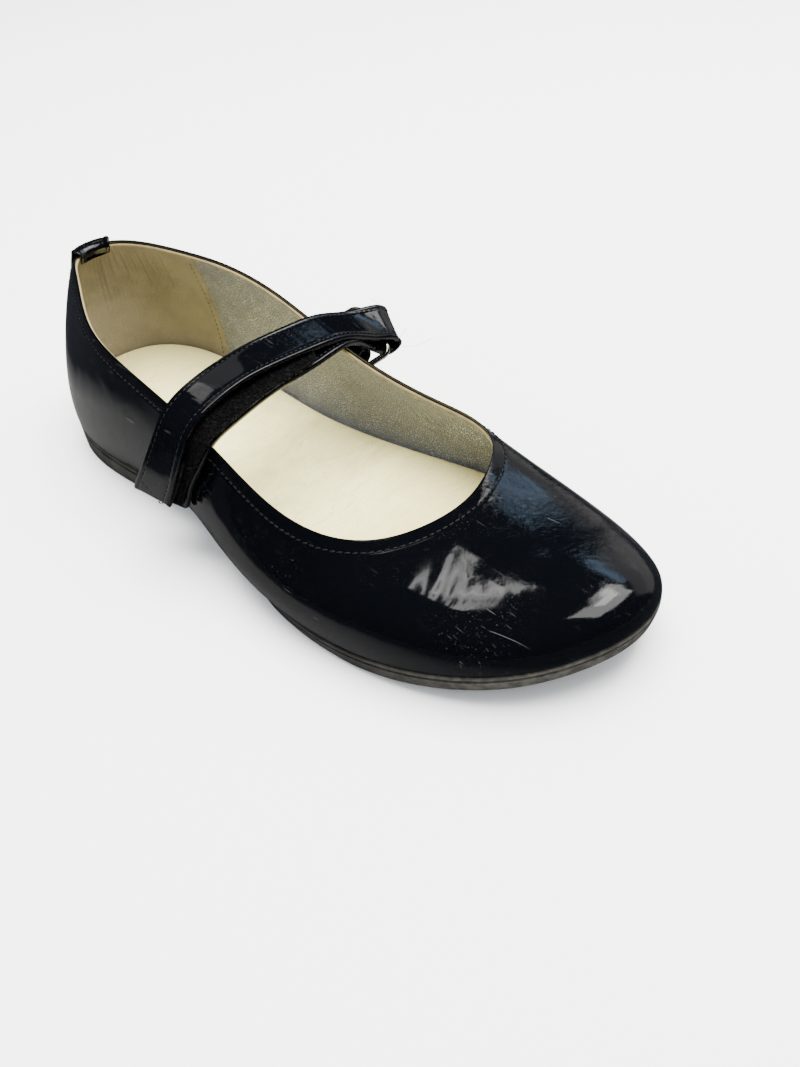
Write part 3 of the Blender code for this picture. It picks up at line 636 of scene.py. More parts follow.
def join_copies(name, places, faces, spots, lengthways, upwards, sizes):
    """One mesh of many copies of a small shape. Spots, directions and sizes are in shoe mm."""
    spots, lengthways = np.asarray(spots, float), np.asarray(lengthways, float)
    lengthways = lengthways / np.linalg.norm(lengthways, axis=1)[:, None]
    sideways = np.cross(upwards, lengthways)
    sideways /= np.linalg.norm(sideways, axis=1)[:, None]
    upwards = np.cross(lengthways, sideways)
    sizes = np.broadcast_to(np.asarray(sizes, float), (len(spots), 3))
    body = (places[None, :, :1] * (sizes[:, None, :1] * lengthways[:, None])
            + places[None, :, 1:2] * (sizes[:, None, 1:2] * sideways[:, None])
            + places[None, :, 2:] * (sizes[:, None, 2:] * upwards[:, None]))
    corners = to_world((body + spots[:, None]).reshape(-1, 3))
    count = len(places)
    all_faces = [[corner + count * copy for corner in face]
                 for copy in range(len(spots)) for face in faces]
    mesh = bpy.data.meshes.new(name)
    mesh.from_pydata(corners.tolist(), [], all_faces)
    piece = bpy.data.objects.new(name, mesh)
    bpy.context.scene.collection.objects.link(piece)
    bpy.ops.object.select_all(action="DESELECT")
    piece.select_set(True)
    bpy.context.view_layer.objects.active = piece
    finish_faces(weld=False)
    return piece


def read_rows(where, knots, rows):
    """Rows of three numbers read between knots."""
    return np.column_stack([np.interp(where, knots, rows[:, axis]) for axis in range(3)])


def spaced(points, step):
    """Evenly spaced spots on a line, the line's direction at each and its share of the way."""
    points = np.asarray(points, float)
    gone = np.concatenate([[0], np.cumsum(np.linalg.norm(np.diff(points, axis=0), axis=1))])
    count = max(int(gone[-1] / step), 1)
    where = (np.arange(count) + 0.5) * gone[-1] / count
    way = read_rows(where + 0.2, gone, points) - read_rows(where - 0.2, gone, points)
    return read_rows(where, gone, points), way, where / gone[-1]


def thread_finish(name, colour, worn):
    """Twisted waxed thread, paler where it is rubbed."""
    finish, tree, shader, place = new_finish(name)
    strands = noise(tree, place, 2400, 3.0, 0.7)
    share = between(tree, strands, 0.42, 0.68)
    feed(shader, {"Base Color": blend_colours(tree, share, colour, worn),
                  "Roughness": between(tree, strands, 0.3, 0.7, 0.22, 0.42),
                  "Normal": bump(tree, strands, 0.00012)})
    return finish


def sew(name, line, normals, step, size, finish, slot):
    """A row of stitches on a line, each a little off true as sewn leather leaves them."""
    spots, ways, share = spaced(line, step)
    up = read_rows(share * (len(line) - 1), np.arange(len(line)), normals)
    chance = np.random.default_rng(len(spots))
    side = np.cross(up, ways)
    side /= np.linalg.norm(side, axis=1)[:, None]
    ways = ways / np.linalg.norm(ways, axis=1)[:, None]
    ways = ways + side * (STITCH_LEAN + chance.normal(0, STITCH_STRAY, len(spots)))[:, None]
    row = join_copies(name, STITCH_PLACES, STITCH_FACES, spots, ways, up, size)
    row.data.materials.append(finish)
    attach(row, "root")


black_thread = thread_finish("black thread", THREAD, THREAD_WORN)
seam_turns = np.linspace(*SEAM_ENDS, 1200)
seam_rises = below_topline(seam_turns, SEAM_BELOW)
sew("topline_stitches", upper_face(seam_turns, seam_rises, -0.04),
    upper_normal(seam_turns, seam_rises), STITCH_STEP, STITCH_SIZE, black_thread, "patent")

# ================================================================ linings
# Thin leather glued inside the wall: pale suede round the heel, silver-grey grained leather
# from the quarters to the toe, and a cream binding folded over the lining's top edge.
LINING_FACE, LINING_BACK = -1.78, -1.12
LINING_FOOT = 0.02           # its lower edge, as a share of the wall
HEEL_LINING_END = 0.2575     # turn of the slanted seam between the two linings
WRINKLE = "turn lean low high deep wide"
SUEDE_WRINKLES = table(WRINKLE, [
    (-0.034, 0.008, 0.45, 1.00, 0.55, 0.0030), (-0.022, 0.006, 0.40, 0.98, 0.45, 0.0026),
    (-0.012, 0.004, 0.62, 0.99, 0.30, 0.0022), (-0.052, -0.008, 0.70, 0.99, 0.28, 0.0028),
    (-0.074, 0.010, 0.74, 0.99, 0.30, 0.0030), (-0.090, 0.006, 0.66, 0.98, 0.34, 0.0028),
    (-0.108, -0.006, 0.70, 0.99, 0.28, 0.0026), (-0.132, 0.006, 0.60, 0.98, 0.40, 0.0030),
    (-0.150, 0.008, 0.68, 0.99, 0.30, 0.0026), (-0.180, -0.010, 0.60, 0.98, 0.26, 0.0040),
    (0.030, 0.006, 0.40, 0.98, 0.40, 0.0030), (0.060, 0.010, 0.30, 0.95, 0.30, 0.0040),
    (0.120, -0.010, 0.20, 0.90, 0.25, 0.0060),
])
GRAINED_WRINKLES = table(WRINKLE, [
    (1.300, 0.030, 0.15, 0.95, 0.45, 0.0045), (1.318, 0.026, 0.10, 0.90, 0.51, 0.0040),
    (1.335, 0.030, 0.25, 0.97, 0.48, 0.0036), (1.351, 0.024, 0.10, 0.85, 0.54, 0.0040),
    (1.368, 0.028, 0.30, 0.95, 0.51, 0.0034), (1.384, 0.024, 0.15, 0.80, 0.51, 0.0036),
    (1.400, 0.026, 0.29, 0.80, 0.60, 0.0030), (1.413, 0.022, 0.25, 0.70, 0.60, 0.0028),
    (1.426, 0.026, 0.29, 0.75, 0.60, 0.0028), (1.439, 0.022, 0.29, 0.68, 0.54, 0.0028),
    (1.453, 0.024, 0.32, 0.68, 0.45, 0.0030), (1.640, -0.010, 0.40, 0.95, 0.18, 0.0050),
    (0.640, 0.012, 0.20, 0.90, 0.26, 0.0045), (0.668, 0.012, 0.30, 0.95, 0.26, 0.0040),
    (0.700, 0.010, 0.15, 0.85, 0.24, 0.0045),
])
SUEDE = (0.250, 0.216, 0.140, 1)
SUEDE_SOILED = (0.118, 0.098, 0.058, 1)
SILVER_GREY = (0.355, 0.370, 0.410, 1)
SILVER_DARK = (0.095, 0.096, 0.100, 1)
BINDING = (0.29, 0.225, 0.105, 1)
BINDING_BELOW, BINDING_LIFT = 0.92, -1.46
BINDING_HIGH, BINDING_THICK = 0.50, 0.44     # half its height and half its thickness


def wrinkle_lift(wrinkles, turn, rise):
    """How far a wrinkled lining stands into the shoe."""
    lift = np.zeros(len(turn))
    for fold in wrinkles:
        gap = (turn - fold.turn - fold.lean * (rise - 0.5)) / fold.wide
        middle, half = (fold.low + fold.high) / 2, (fold.high - fold.low) / 2
        ends = np.clip(1 - ((rise - middle) / half)**2, 0, 1)
        lift += fold.deep * ends * (np.exp(-gap**2) - 0.45 * np.exp(-(gap - 2.0)**2))
    return lift


def make_lining(name, first, last, stations, rows, wrinkles):
    """A thin wall inside the upper between two turns, closed at its ends."""
    turns = np.linspace(first, last, stations + 1)
    turns = np.concatenate([[turns[0]], turns, [turns[-1]]])
    top = below_topline(turns, 0.55)
    shares = np.linspace(LINING_FOOT, 1, rows)
    form = [upper_face(turns, share * top, LINING_FACE - wrinkle_lift(wrinkles, turns, share * top))
            for share in shares]
    form += [upper_face(turns, share * top, LINING_BACK) for share in shares[::-1]]
    form = np.array(form + form[:1])
    for end in (0, -1):
        rises = np.concatenate([shares, shares[::-1], shares[:1]]) * top[end]
        form[:, end] = upper_face(turns[end], rises, (LINING_FACE + LINING_BACK) / 2)
    return lay_grid(name, form)


heel_lining = make_lining("heel_lining", -HEEL_LINING_END - 0.006, HEEL_LINING_END + 0.006,
                          300, 64, SUEDE_WRINKLES)
suede, tree, shader, place = new_finish("pale suede lining")
marks = use_group(tree, handling, Place=place, Dust=1.0, Scratches=0.0)
nap = noise(tree, place, 1700, 4.0, 0.7)
blotches = between(tree, noise(tree, place, 110, 4.0, 0.6), 0.40, 0.62)
height_up = put(tree, "SeparateXYZ", {0: place}).outputs["Z"]
band = times(tree, between(tree, height_up, 0.024, 0.034),
             between(tree, height_up, 0.050, 0.043))
soil = most(tree, times(tree, times(tree, band, blotches), 0.40), times(tree, blotches, 0.28))
soil = times(tree, soil, between(tree, nap, 0.25, 0.62, 0.55, 1.0))
soil = most(tree, soil, marks["Dust"])
feed(shader, {"Base Color": blend_colours(tree, soil, SUEDE, SUEDE_SOILED),
              "Roughness": between(tree, nap, 0.3, 0.7, 0.82, 0.97),
              "Normal": bump(tree, nap, 0.0006), "Specular IOR Level": 0.2})
heel_lining.data.materials.append(suede)
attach(heel_lining, "root")

quarter_lining = make_lining("quarter_lining", HEEL_LINING_END, 2 - HEEL_LINING_END, 560, 40,
                             GRAINED_WRINKLES)
grained, tree, shader, place = new_finish("silver-grey grained lining")
cells = put(tree, "TexVoronoi", {"Vector": place, "Scale": 1300.0, "Randomness": 1.0},
            feature="DISTANCE_TO_EDGE").outputs["Distance"]
grain = between(tree, cells, 0.0, 0.22)
cloud = between(tree, noise(tree, place, 160, 4.0, 0.6), 0.40, 0.64)
share = times(tree, between(tree, grain, 0, 1, 0.85, 0.0), 0.7)
share = most(tree, share, times(tree, cloud, 0.42))
height = plus(tree, grain, times(tree, cloud, 1.4))
feed(shader, {"Base Color": blend_colours(tree, share, SILVER_GREY, SILVER_DARK),
              "Roughness": between(tree, noise(tree, place, 3000, 2.0), 0.3, 0.7, 0.28, 0.46),
              "Metallic": 0.5, "Normal": bump(tree, height, 0.0003)})
quarter_lining.data.materials.append(grained)
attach(quarter_lining, "root")

binding_turns = np.linspace(0, 2, 361)
form = [upper_face(binding_turns,
                   below_topline(binding_turns, BINDING_BELOW + BINDING_HIGH * math.sin(angle)),
                   BINDING_LIFT + BINDING_THICK * math.cos(angle))
        for angle in np.radians(np.linspace(0, 360, 13))]
binding = lay_grid("lining_binding", form)
cream_edge, tree, shader, place = new_finish("cream binding")
marks = use_group(tree, handling, Place=place, Dust=1.0, Scratches=0.0)
worn = between(tree, noise(tree, place, 260, 4.0, 0.65), 0.42, 0.68)
share = most(tree, times(tree, worn, 0.6), marks["Dust"])
feed(shader, {"Base Color": blend_colours(tree, share, BINDING, SUEDE_SOILED),
              "Roughness": between(tree, worn, 0, 1, 0.5, 0.75),
              "Normal": bump(tree, noise(tree, place, 900, 3.0), 0.00012)})
binding.data.materials.append(cream_edge)
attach(binding, "root")

# The seam between the linings is one row of brown-grey thread, and a short zig-zag row of cream
# thread holds the grained lining under the topline on the inner side.
CREAM_THREAD = (0.42, 0.38, 0.28, 1)
CREAM_THREAD_WORN = (0.25, 0.22, 0.16, 1)
SEAM_THREAD = (0.075, 0.062, 0.040, 1)
SEAM_THREAD_WORN = (0.035, 0.030, 0.020, 1)
cream_thread = thread_finish("cream thread", CREAM_THREAD, CREAM_THREAD_WORN)
seam_thread = thread_finish("brown-grey thread", SEAM_THREAD, SEAM_THREAD_WORN)
for name, side in (("lateral_lining_seam", 1), ("medial_lining_seam", -1)):
    turns, rises = side * (HEEL_LINING_END - 0.012), np.linspace(0.10, 0.93, 200)
    sew(name, upper_face(turns, rises, LINING_FACE - 0.02), -upper_normal(turns, rises), 1.7,
        (1.25, 0.42, 0.30), seam_thread, "sock")
ZIGZAGS = 44
zigzag = np.linspace(0, ZIGZAGS - 1, 400)
turns = np.interp(zigzag, np.arange(ZIGZAGS), np.linspace(1.285, 1.56, ZIGZAGS))
below = np.interp(zigzag, np.arange(ZIGZAGS), 2.6 + 1.5 * (np.arange(ZIGZAGS) % 2))
rises = below_topline(turns, below)
sew("zigzag_lining_stitches", upper_face(turns, rises, LINING_FACE - 0.03),
    -upper_normal(turns, rises), 0.9, (0.95, 0.34, 0.26), cream_thread, "sock")

# ================================================================ insole
# A board with a thin foam pad under pale ivory leather, cupped a little at the heel, pressed
# and faintly wrinkled by the foot. What was stamped on it is left bare.
INSOLE_STATIONS = 300
INSOLE_TOP = table("share height", [
    (0.00, 4.4), (0.20, 4.2), (0.35, 3.4), (0.55, 2.4), (1.00, 2.0),
])
# From the middle of the underside out to the edge, round it and over the top to the middle.
INSOLE_EDGE = table("height inset inward", [
    (0.0, 0.8, 1.0), (0.0, 0.8, 0.0), (0.2, 0.4, 0.0), (0.6, 0.3, 0.0), (0.86, 0.35, 0.0),
    (0.96, 0.6, 0.0)] + [(1.0, 1.1, inward) for inward in np.linspace(0, 1, 29)])
INSOLE_HOLLOW = 0.55
IVORY = (0.90, 0.82, 0.37, 1)
# The second ivory is the pressed, dusty leather and also painted shade towards the heel and the toe.
IVORY_DULLED_AND_SHADED = (0.50, 0.43, 0.175, 1)

insole_turns = np.linspace(0, 2, INSOLE_STATIONS + 1)
line, out = seat_line(insole_turns), outward(seat_line, insole_turns)
pad = np.interp(line[:, 0] / LENGTH, *np.array(INSOLE_TOP).T)
wall = np.array([upper_face(insole_turns, rise, -WALL - GAP) for rise in np.linspace(0, 0.3, 13)])
wall_up = wall[:, :, 2] - line[:, 2]
wall_reach = np.maximum(((wall - line) * out).sum(axis=2), -WALL - GAP)
form = []
for row in INSOLE_EDGE:
    room = [np.interp(h, u, r) for h, u, r in zip(row.height * pad, wall_up.T, wall_reach.T)]
    ring = line + (np.array(room) - row.inset)[:, None] * out
    ring[:, 2] = line[:, 2] + row.height * pad
    middle = (ring + ring[::-1]) / 2
    ring = ring + row.inward * (middle - ring)
    if row.height == 1.0:
        ring[:, 2] -= INSOLE_HOLLOW * np.sin(row.inward * math.pi / 2)**2
    form.append(ring)
insole = lay_grid("insole_pad", form)
ivory, tree, shader, place = new_finish("ivory insole leather")
marks = use_group(tree, handling, Place=place, Dust=0.8, Scratches=0.5)
pressed = noise(tree, place, 75, 4.0, 0.6, 0.8)
stretched = put(tree, "Mapping", {"Vector": place, "Rotation": (0, 0, 0.35),
                                  "Scale": (70, 210, 70)}).outputs[0]
wrinkles = between(tree, noise(tree, stretched, 1.0, 3.0, 0.55, 1.5), 0.47, 0.56)
dull_and_shade = most(tree, times(tree, between(tree, pressed, 0.38, 0.66), 0.35), marks["Dust"])
# Painted shade: the leather is darker towards the heel and towards the toe, where the heel counter
# and the vamp shade it.
lengthways = put(tree, "SeparateXYZ", {0: place}).outputs["Y"]
dull_and_shade = most(tree, dull_and_shade, most(tree, between(tree, lengthways, -0.015, 0.030, 0.0, 0.70),
                             between(tree, lengthways, -0.070, -0.110, 0.0, 0.60)))
pores = noise(tree, place, 2300, 2.0)
relief = plus(tree, times(tree, wrinkles, 0.25), times(tree, pores, 0.25))
relief = plus(tree, relief, times(tree, pressed, 2.0))
feed(shader, {"Base Color": blend_colours(tree, dull_and_shade, IVORY, IVORY_DULLED_AND_SHADED),
              "Roughness": between(tree, pressed, 0.35, 0.65, 0.42, 0.62),
              "Normal": bump(tree, relief, 0.0008)})
insole.data.materials.append(ivory)
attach(insole, "root")
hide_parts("insole")

# ================================================================ back strip
# A strip of the same patent leather sewn up the back seam and turned over the collar. It ends
# just inside, in a small folded tab whose corners stand a little proud.
BACKSTAY_WIDTH = 14.0
BACKSTAY_THICK = 0.9
BACKSTAY_END = 0.35           # how thin it is pressed at both ends


def seam_points(across, rise, lift):
    """Points beside the back seam, `across` mm from it along the upper."""
    delta = 1e-3
    way = upper_skin([delta], rise) - upper_skin([-delta], rise)
    turns = np.asarray(across) / (np.linalg.norm(way) / (2 * delta))
    return upper_face(turns, rise, lift)


def strip_side(width, thick, rim):
    """Half of a strip's section from its edge to its middle: (across, up) with a rolled rim,
    the trough of the stitching and a flat middle."""
    half, face = width / 2, thick / 2
    return [(half, 0.0), (half - 0.05, 0.5 * face), (half - 0.22, 0.85 * face),
            (half - 0.55, face + 0.6 * rim), (half - 0.95, face + rim),
            (half - 1.35, face + 0.6 * rim), (half - STITCH_INSET, face - 0.16),
            (half - 2.1, face - 0.02), (half - 2.8, face), (half * 0.4, face), (0.0, face)]


def both_faces(side):
    """The closed section of a strip from half of its upper face."""
    top = side + [(-a, b) for a, b in side[-2::-1]]
    return np.array(top + [(a, -b) for a, b in top[-2:0:-1]] + [top[0]])


def capped(form):
    """Draws the two ends of a swept form together."""
    form = np.array(form)
    first, last = (form[:1] * 0 + form[end].mean(axis=0) for end in (0, -1))
    return np.concatenate([first, form, last])


section = both_faces(strip_side(BACKSTAY_WIDTH, BACKSTAY_THICK, 0.10))
across, up = section.T
raised = 0.45 * (np.abs(across) / (BACKSTAY_WIDTH / 2))**4
centre = GAP + BACKSTAY_THICK / 2
stay_rows = [(rise, 0.0) for rise in np.linspace(0.05, 0.985, 60)]
stay_rows += [(1.0, over) for over in np.linspace(0, 1, 11)]
stay_rows += [(rise, 1.0) for rise in np.linspace(0.99, 0.95, 5)]
form = []
for index, (rise, over) in enumerate(stay_rows):
    if 0.0 < over < 1.0:
        angle = math.pi * over
        base = seam_points(across, 1.0, -WALL / 2)
        out = seam_points(across, 1.0, 1.0 - WALL / 2) - base
        points = base + out * ((WALL / 2 + centre + up) * math.cos(angle))[:, None]
        rise_by = np.maximum(GAP + BACKSTAY_THICK * 0.6 + up, 0.1)
        points[:, 2] += (rise_by + raised) * math.sin(angle)
    else:
        squash = BACKSTAY_END if index in (0, len(stay_rows) - 1) else 1.0
        sign = 1 if over < 0.5 else -1
        points = seam_points(across, rise,
                             centre - over * (WALL + 2 * centre) + sign * up * squash)
    form.append(points)
backstay = lay_grid("backstay_patent", capped(form))
strip_patent = patent_leather("black patent strip", 1.6, 0.75, 0.9)
backstay.data.materials.append(strip_patent)
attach(backstay, "root")
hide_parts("backstay")
rises = np.linspace(0.07, 0.96, 80)
for name, side in (("backstay_stitches_lateral", 1), ("backstay_stitches_medial", -1)):
    off = side * (BACKSTAY_WIDTH / 2 - STITCH_INSET)
    line = np.array([seam_points([off], rise, GAP + BACKSTAY_THICK - 0.1)[0] for rise in rises])
    sew(name, line, upper_normal(side * 0.02, rises), 1.95, (1.4, 0.42, 0.32), black_thread,
        "patent")

# ================================================================ ring loop
# A short strap of patent leather folded double through the ring and sewn to the inner side of
# the quarter, stitched down both edges.
STRAP_WIDTH = 12.6
STRAP_THICK = 1.7
STRAP_END_SKEW = 0.68
CHAPE_WIDTH = 11.2
CHAPE_THICK = 1.2

# A strip lies on the upper at its `Sewn` rows, over `layers` mm of other strips, and is free at
# its `Fold` rows, where `lift` is how much higher its heelward edge is than its toeward edge
# and `tuck` how much nearer the shoe's middle.
Sewn = namedtuple("Sewn", "name side_of_shoe along height layers")
Fold = namedtuple("Fold", "name along side height lift tuck")
LATERAL, MEDIAL = -1, 1
CHAPE = [
    Sewn("inner end", MEDIAL, 85.2, 14.6, 0.1),
    Sewn("inner middle", MEDIAL, 87.6, 20.4, 0.1),
    Sewn("inner top", MEDIAL, 89.8, 26.4, 0.4),
    Fold("inside bar", 90.1, 32.2, 33.0, 7.0, -2.5),
    Fold("top of bar", 90.3, 34.4, 35.0, 7.0, -2.5),
    Fold("outside bar", 90.2, 36.7, 33.0, 7.0, -2.5),
    Sewn("outer top", MEDIAL, 89.6, 26.0, CHAPE_THICK + 1.1),
    Sewn("outer middle", MEDIAL, 87.2, 19.6, CHAPE_THICK + 0.4),
    Sewn("outer end", MEDIAL, 84.9, 13.8, CHAPE_THICK + 0.4),
]


def wall_spot(side_of_shoe, along, height, off):
    """Turn and rise of the point `off` mm from the upper that has this length and height."""
    spot = np.array([1 + side_of_shoe * 0.55, 0.5])
    delta = 1e-4
    for _ in range(12):
        turns = spot[0] + np.array([0, delta, 0])
        rises = spot[1] + np.array([0, 0, delta])
        found = upper_face(turns, rises, off)[:, [0, 2]]
        slope = (found[1:] - found[0]).T / delta
        step = np.linalg.solve(slope, found[0] - [along, height])
        spot = spot - np.clip(step, -0.2, 0.2)
    return spot


def strip_row(row, thick):
    """Middle point and width vector (to the heel) of a strip at one of its rows."""
    if isinstance(row, Fold):
        return (*row[1:4], -STRAP_WIDTH, -row.tuck * math.copysign(1, row.side), row.lift)
    off = GAP + thick / 2 + row.layers
    turn, rise = wall_spot(row.side_of_shoe, row.along, row.height, off)
    width = np.cross(upper_normal(turn, rise)[0], [0, 0, 1.0]) * -row.side_of_shoe * STRAP_WIDTH
    return (*upper_face(turn, rise, off)[0], *width)


class Route:
    """A strip's middle line with its width and upward directions at even stations."""

    def __init__(self, table, thick, first, last, spacing):
        names = [row.name for row in table]
        rows = np.array([strip_row(row, thick) for row in table])
        spans = np.linalg.norm(np.diff(rows[:, :3], axis=0), axis=1)
        knots = np.concatenate([[0], np.cumsum(spans)])
        low, high = knots[names.index(first)], knots[names.index(last)]
        where = np.linspace(low, high, int((high - low) / spacing) + 1)
        read = smooth(knots, rows, where)
        self.centres, across = read[:, :3], read[:, 3:]
        self.ways = np.gradient(self.centres, axis=0)
        self.ways /= np.linalg.norm(self.ways, axis=1)[:, None]
        across -= (across * self.ways).sum(axis=1)[:, None] * self.ways
        self.across = across / np.linalg.norm(across, axis=1)[:, None]
        self.ups = np.cross(self.ways, self.across)
        step = np.linalg.norm(np.diff(self.centres, axis=0), axis=1)
        self.gone = np.concatenate([[0], np.cumsum(step)])
        self.where = dict(zip(names, np.interp(knots, where, self.gone)))
        self.left = self.gone[-1] - self.gone

    def at(self, name):
        """How far along the strip one of its rows is."""
        return self.where[name]

    def line(self, across, lift, first, last):
        """A line along the strip, `across` to its heelward edge and `lift` off its middle."""
        inside = (self.gone >= first) & (self.gone <= last)
        points = self.centres + across * self.across + lift * self.ups
        return points[inside], self.ups[inside] * math.copysign(1, lift)


def sweep_strip(name, route, section, lift=0.0, corner=1.5, ripple=None, skew=0.0):
    """A strip of this section along a route, with rounded corners and edges at both ends. With
    a `skew`, its far end is cut on a slant."""
    half = np.abs(section[:, 0]).max()
    near = np.minimum(route.gone, route.left)
    form = []
    for index, centre in enumerate(route.centres):
        short = max(corner - near[index], 0)
        cut = corner - math.sqrt(max(corner**2 - short**2, 0)) if short else 0
        narrow = (half - cut) / half
        thin = min(1.0, 0.45 + near[index] / 0.7)
        a, b = section[:, 0] * narrow, section[:, 1] * thin
        wave = 0.0 if ripple is None else ripple(route.gone[index], a)
        slant = skew * min(max(1 - route.left[index] / (2 * half), 0), 1)
        form.append(centre + a[:, None] * (route.across[index] + slant * route.ways[index])
                    + (b + lift + wave)[:, None] * route.ups[index])
    return lay_grid(name, capped(form))


chape = Route(CHAPE, CHAPE_THICK, "inner end", "outer end", 0.6)
ring_loop = sweep_strip("ring_loop_patent", chape,
                        both_faces(strip_side(CHAPE_WIDTH, CHAPE_THICK, 0.08)))
ring_loop.data.materials.append(strip_patent)
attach(ring_loop, "root")
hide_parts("ring_loop")
for name, side in (("ring_loop_stitches_toe", -1), ("ring_loop_stitches_heel", 1)):
    line, ups = chape.line(side * (CHAPE_WIDTH / 2 - STITCH_INSET), CHAPE_THICK / 2 - 0.08,
                           chape.at("outside bar") + 1.5, chape.at("outer end") - 1.6)
    sew(name, line, ups, 1.8, (1.3, 0.4, 0.32), black_thread, "patent")

# ================================================================ ring
# Nickel-plated steel wire bent to a rectangle with round corners. Its lower bar sits in the
# loop, and the strap runs through it and folds back.
RING_WIRE = 1.9
RING_LOW_CORNER, RING_HIGH_CORNER = 1.6, 2.8
RING_WIDTH, RING_HEIGHT = 18.6, 8.8
RING_BAR = (89.4, 34.5, 32.9)
RING_OUTWARD = (0.0, 7.6, 3.8)
RING_ACROSS = (-12.6, 2.5, 7.0)
NICKEL = (0.70, 0.665, 0.59, 1)
NICKEL_TARNISHED = (0.42, 0.37, 0.29, 1)


def corner_arc(middle, radius, start):
    angles = np.radians(start + np.linspace(0, 90, 13))
    return [(middle[0] + radius * math.cos(a), middle[1] + radius * math.sin(a)) for a in angles]


half, low, high = RING_WIDTH / 2, RING_LOW_CORNER, RING_HIGH_CORNER
path = np.array(corner_arc((half - high, RING_HEIGHT - high), high, 0)
                + corner_arc((high - half, RING_HEIGHT - high), high, 90)
                + corner_arc((low - half, low), low, 180)
                + corner_arc((half - low, low), low, 270))
ring_across = np.array(RING_ACROSS) / np.linalg.norm(RING_ACROSS)
ring_out = np.array(RING_OUTWARD)
ring_out -= (ring_out @ ring_across) * ring_across
ring_out /= np.linalg.norm(ring_out)
ring_face = np.cross(ring_across, ring_out)
ways = np.roll(path, -1, axis=0) - np.roll(path, 1, axis=0)
ways /= np.linalg.norm(ways, axis=1)[:, None]
angles = np.radians(np.linspace(0, 360, 21))
form = []
for (x, y), (dx, dy) in zip(path, ways):
    side = dy * ring_across - dx * ring_out
    middle = np.array(RING_BAR) + x * ring_across + y * ring_out
    form.append([middle + RING_WIRE / 2 * (math.cos(a) * side + math.sin(a) * ring_face)
                 for a in angles])
form.append(form[0])
ring = lay_grid("ring_nickel", form)
nickel, tree, shader, place = new_finish("nickel-plated wire")
tarnish = between(tree, noise(tree, place, 420, 4.0, 0.65), 0.42, 0.66)
drawn = noise(tree, place, 1800, 3.0, 0.6)
feed(shader, {"Base Color": blend_colours(tree, times(tree, tarnish, 0.55), NICKEL,
                                          NICKEL_TARNISHED),
              "Roughness": between(tree, tarnish, 0, 1, 0.14, 0.34),
              "Normal": bump(tree, drawn, 0.00002), "Metallic": 1.0})
ring.data.materials.append(nickel)
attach(ring, "root")
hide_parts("ring")

# ================================================================ strap
# One band of patent leather over a filler, with its edges rolled and stitched. It is sewn to
# the outer quarter, crosses the foot, turns back through the ring and closes on its own tape.
STRAP = [
    Sewn("sewn end", LATERAL, 88.4, 18.6, 0.3),
    Sewn("on quarter", LATERAL, 93.0, 28.2, 0.9),
    Sewn("below topline", LATERAL, 96.2, 34.2, 1.0),
    Fold("over topline", 98.4, -29.8, 40.2, 2.8, 0.0),
    Fold("lateral arch", 98.2, -21.4, 42.1, 2.2, 0.0),
    Fold("crown", 96.6, -5.0, 42.8, 1.5, 0.0),
    Fold("medial arch", 94.8, 13.0, 42.2, 2.4, 0.0),
    Fold("over medial topline", 93.6, 26.6, 41.8, 4.0, 0.0),
    Fold("into ring", 92.2, 34.5, 37.4, 5.2, -1.6),
    Fold("under bar", 92.2, 41.4, 32.8, 7.6, -3.6),
    Fold("fold below", 92.4, 45.8, 31.2, 8.6, -5.4),
    Fold("fold", 93.4, 48.4, 33.2, 9.0, -6.2),
    Fold("fold above", 94.2, 46.6, 36.2, 8.6, -5.4),
    Fold("over bar", 93.8, 42.0, 38.0, 7.6, -3.6),
    Fold("out of ring", 93.1, 35.0, 40.2, 5.0, -1.4),
    Fold("top medial", 93.0, 25.4, 44.0, 4.0, 0.0),
    Fold("top crown", 93.0, 12.0, 46.3, 3.3, 0.0),
    Fold("top middle", 93.1, -1.0, 47.6, 2.4, 0.0),
    Fold("top lateral", 93.3, -12.0, 47.9, 1.2, 0.0),
    Fold("top shoulder", 93.8, -23.2, 46.8, 1.0, 0.2),
    Fold("top bend", 94.2, -32.8, 43.3, 0.6, 0.3),
    Fold("top drop", 93.4, -37.7, 36.6, 0.0, -0.4),
    Fold("free end upper", 91.0, -40.6, 29.2, 0.0, -0.8),
    Fold("free end", 86.2, -42.2, 20.8, -1.0, -0.8),
]
strap_route = Route(STRAP, STRAP_THICK, "sewn end", "free end", 0.55)
# Where the band has been bent again and again it is finely creased across.
CRIMPS = table("middle spread pitch deep", [
    (strap_route.at("top bend") - 1.0, 6.0, 1.7, 0.040),
    (strap_route.at("top drop") + 1.0, 5.0, 1.5, 0.022),
    (strap_route.at("top crown"), 6.0, 3.3, 0.03),
    (strap_route.at("top medial"), 5.0, 2.6, 0.04),
    (strap_route.at("fold above"), 4.0, 3.4, 0.14),
    (strap_route.at("free end upper") + 1.0, 3.0, 1.3, 0.018),
])


def strap_ripple(gone, across):
    """Small creases across the band, a little different along each one."""
    wave = np.zeros(len(across))
    for number, crimp in enumerate(CRIMPS):
        here = gone - crimp.middle
        shape = math.exp(-(here / crimp.spread)**2)
        if shape > 0.01:
            phase = here * 2 * math.pi / crimp.pitch + 0.9 * np.sin(across * 0.7 + number)
            wave = wave + crimp.deep * shape * np.sin(phase) * (0.6 + 0.4 * np.cos(across * 0.4))
    return wave


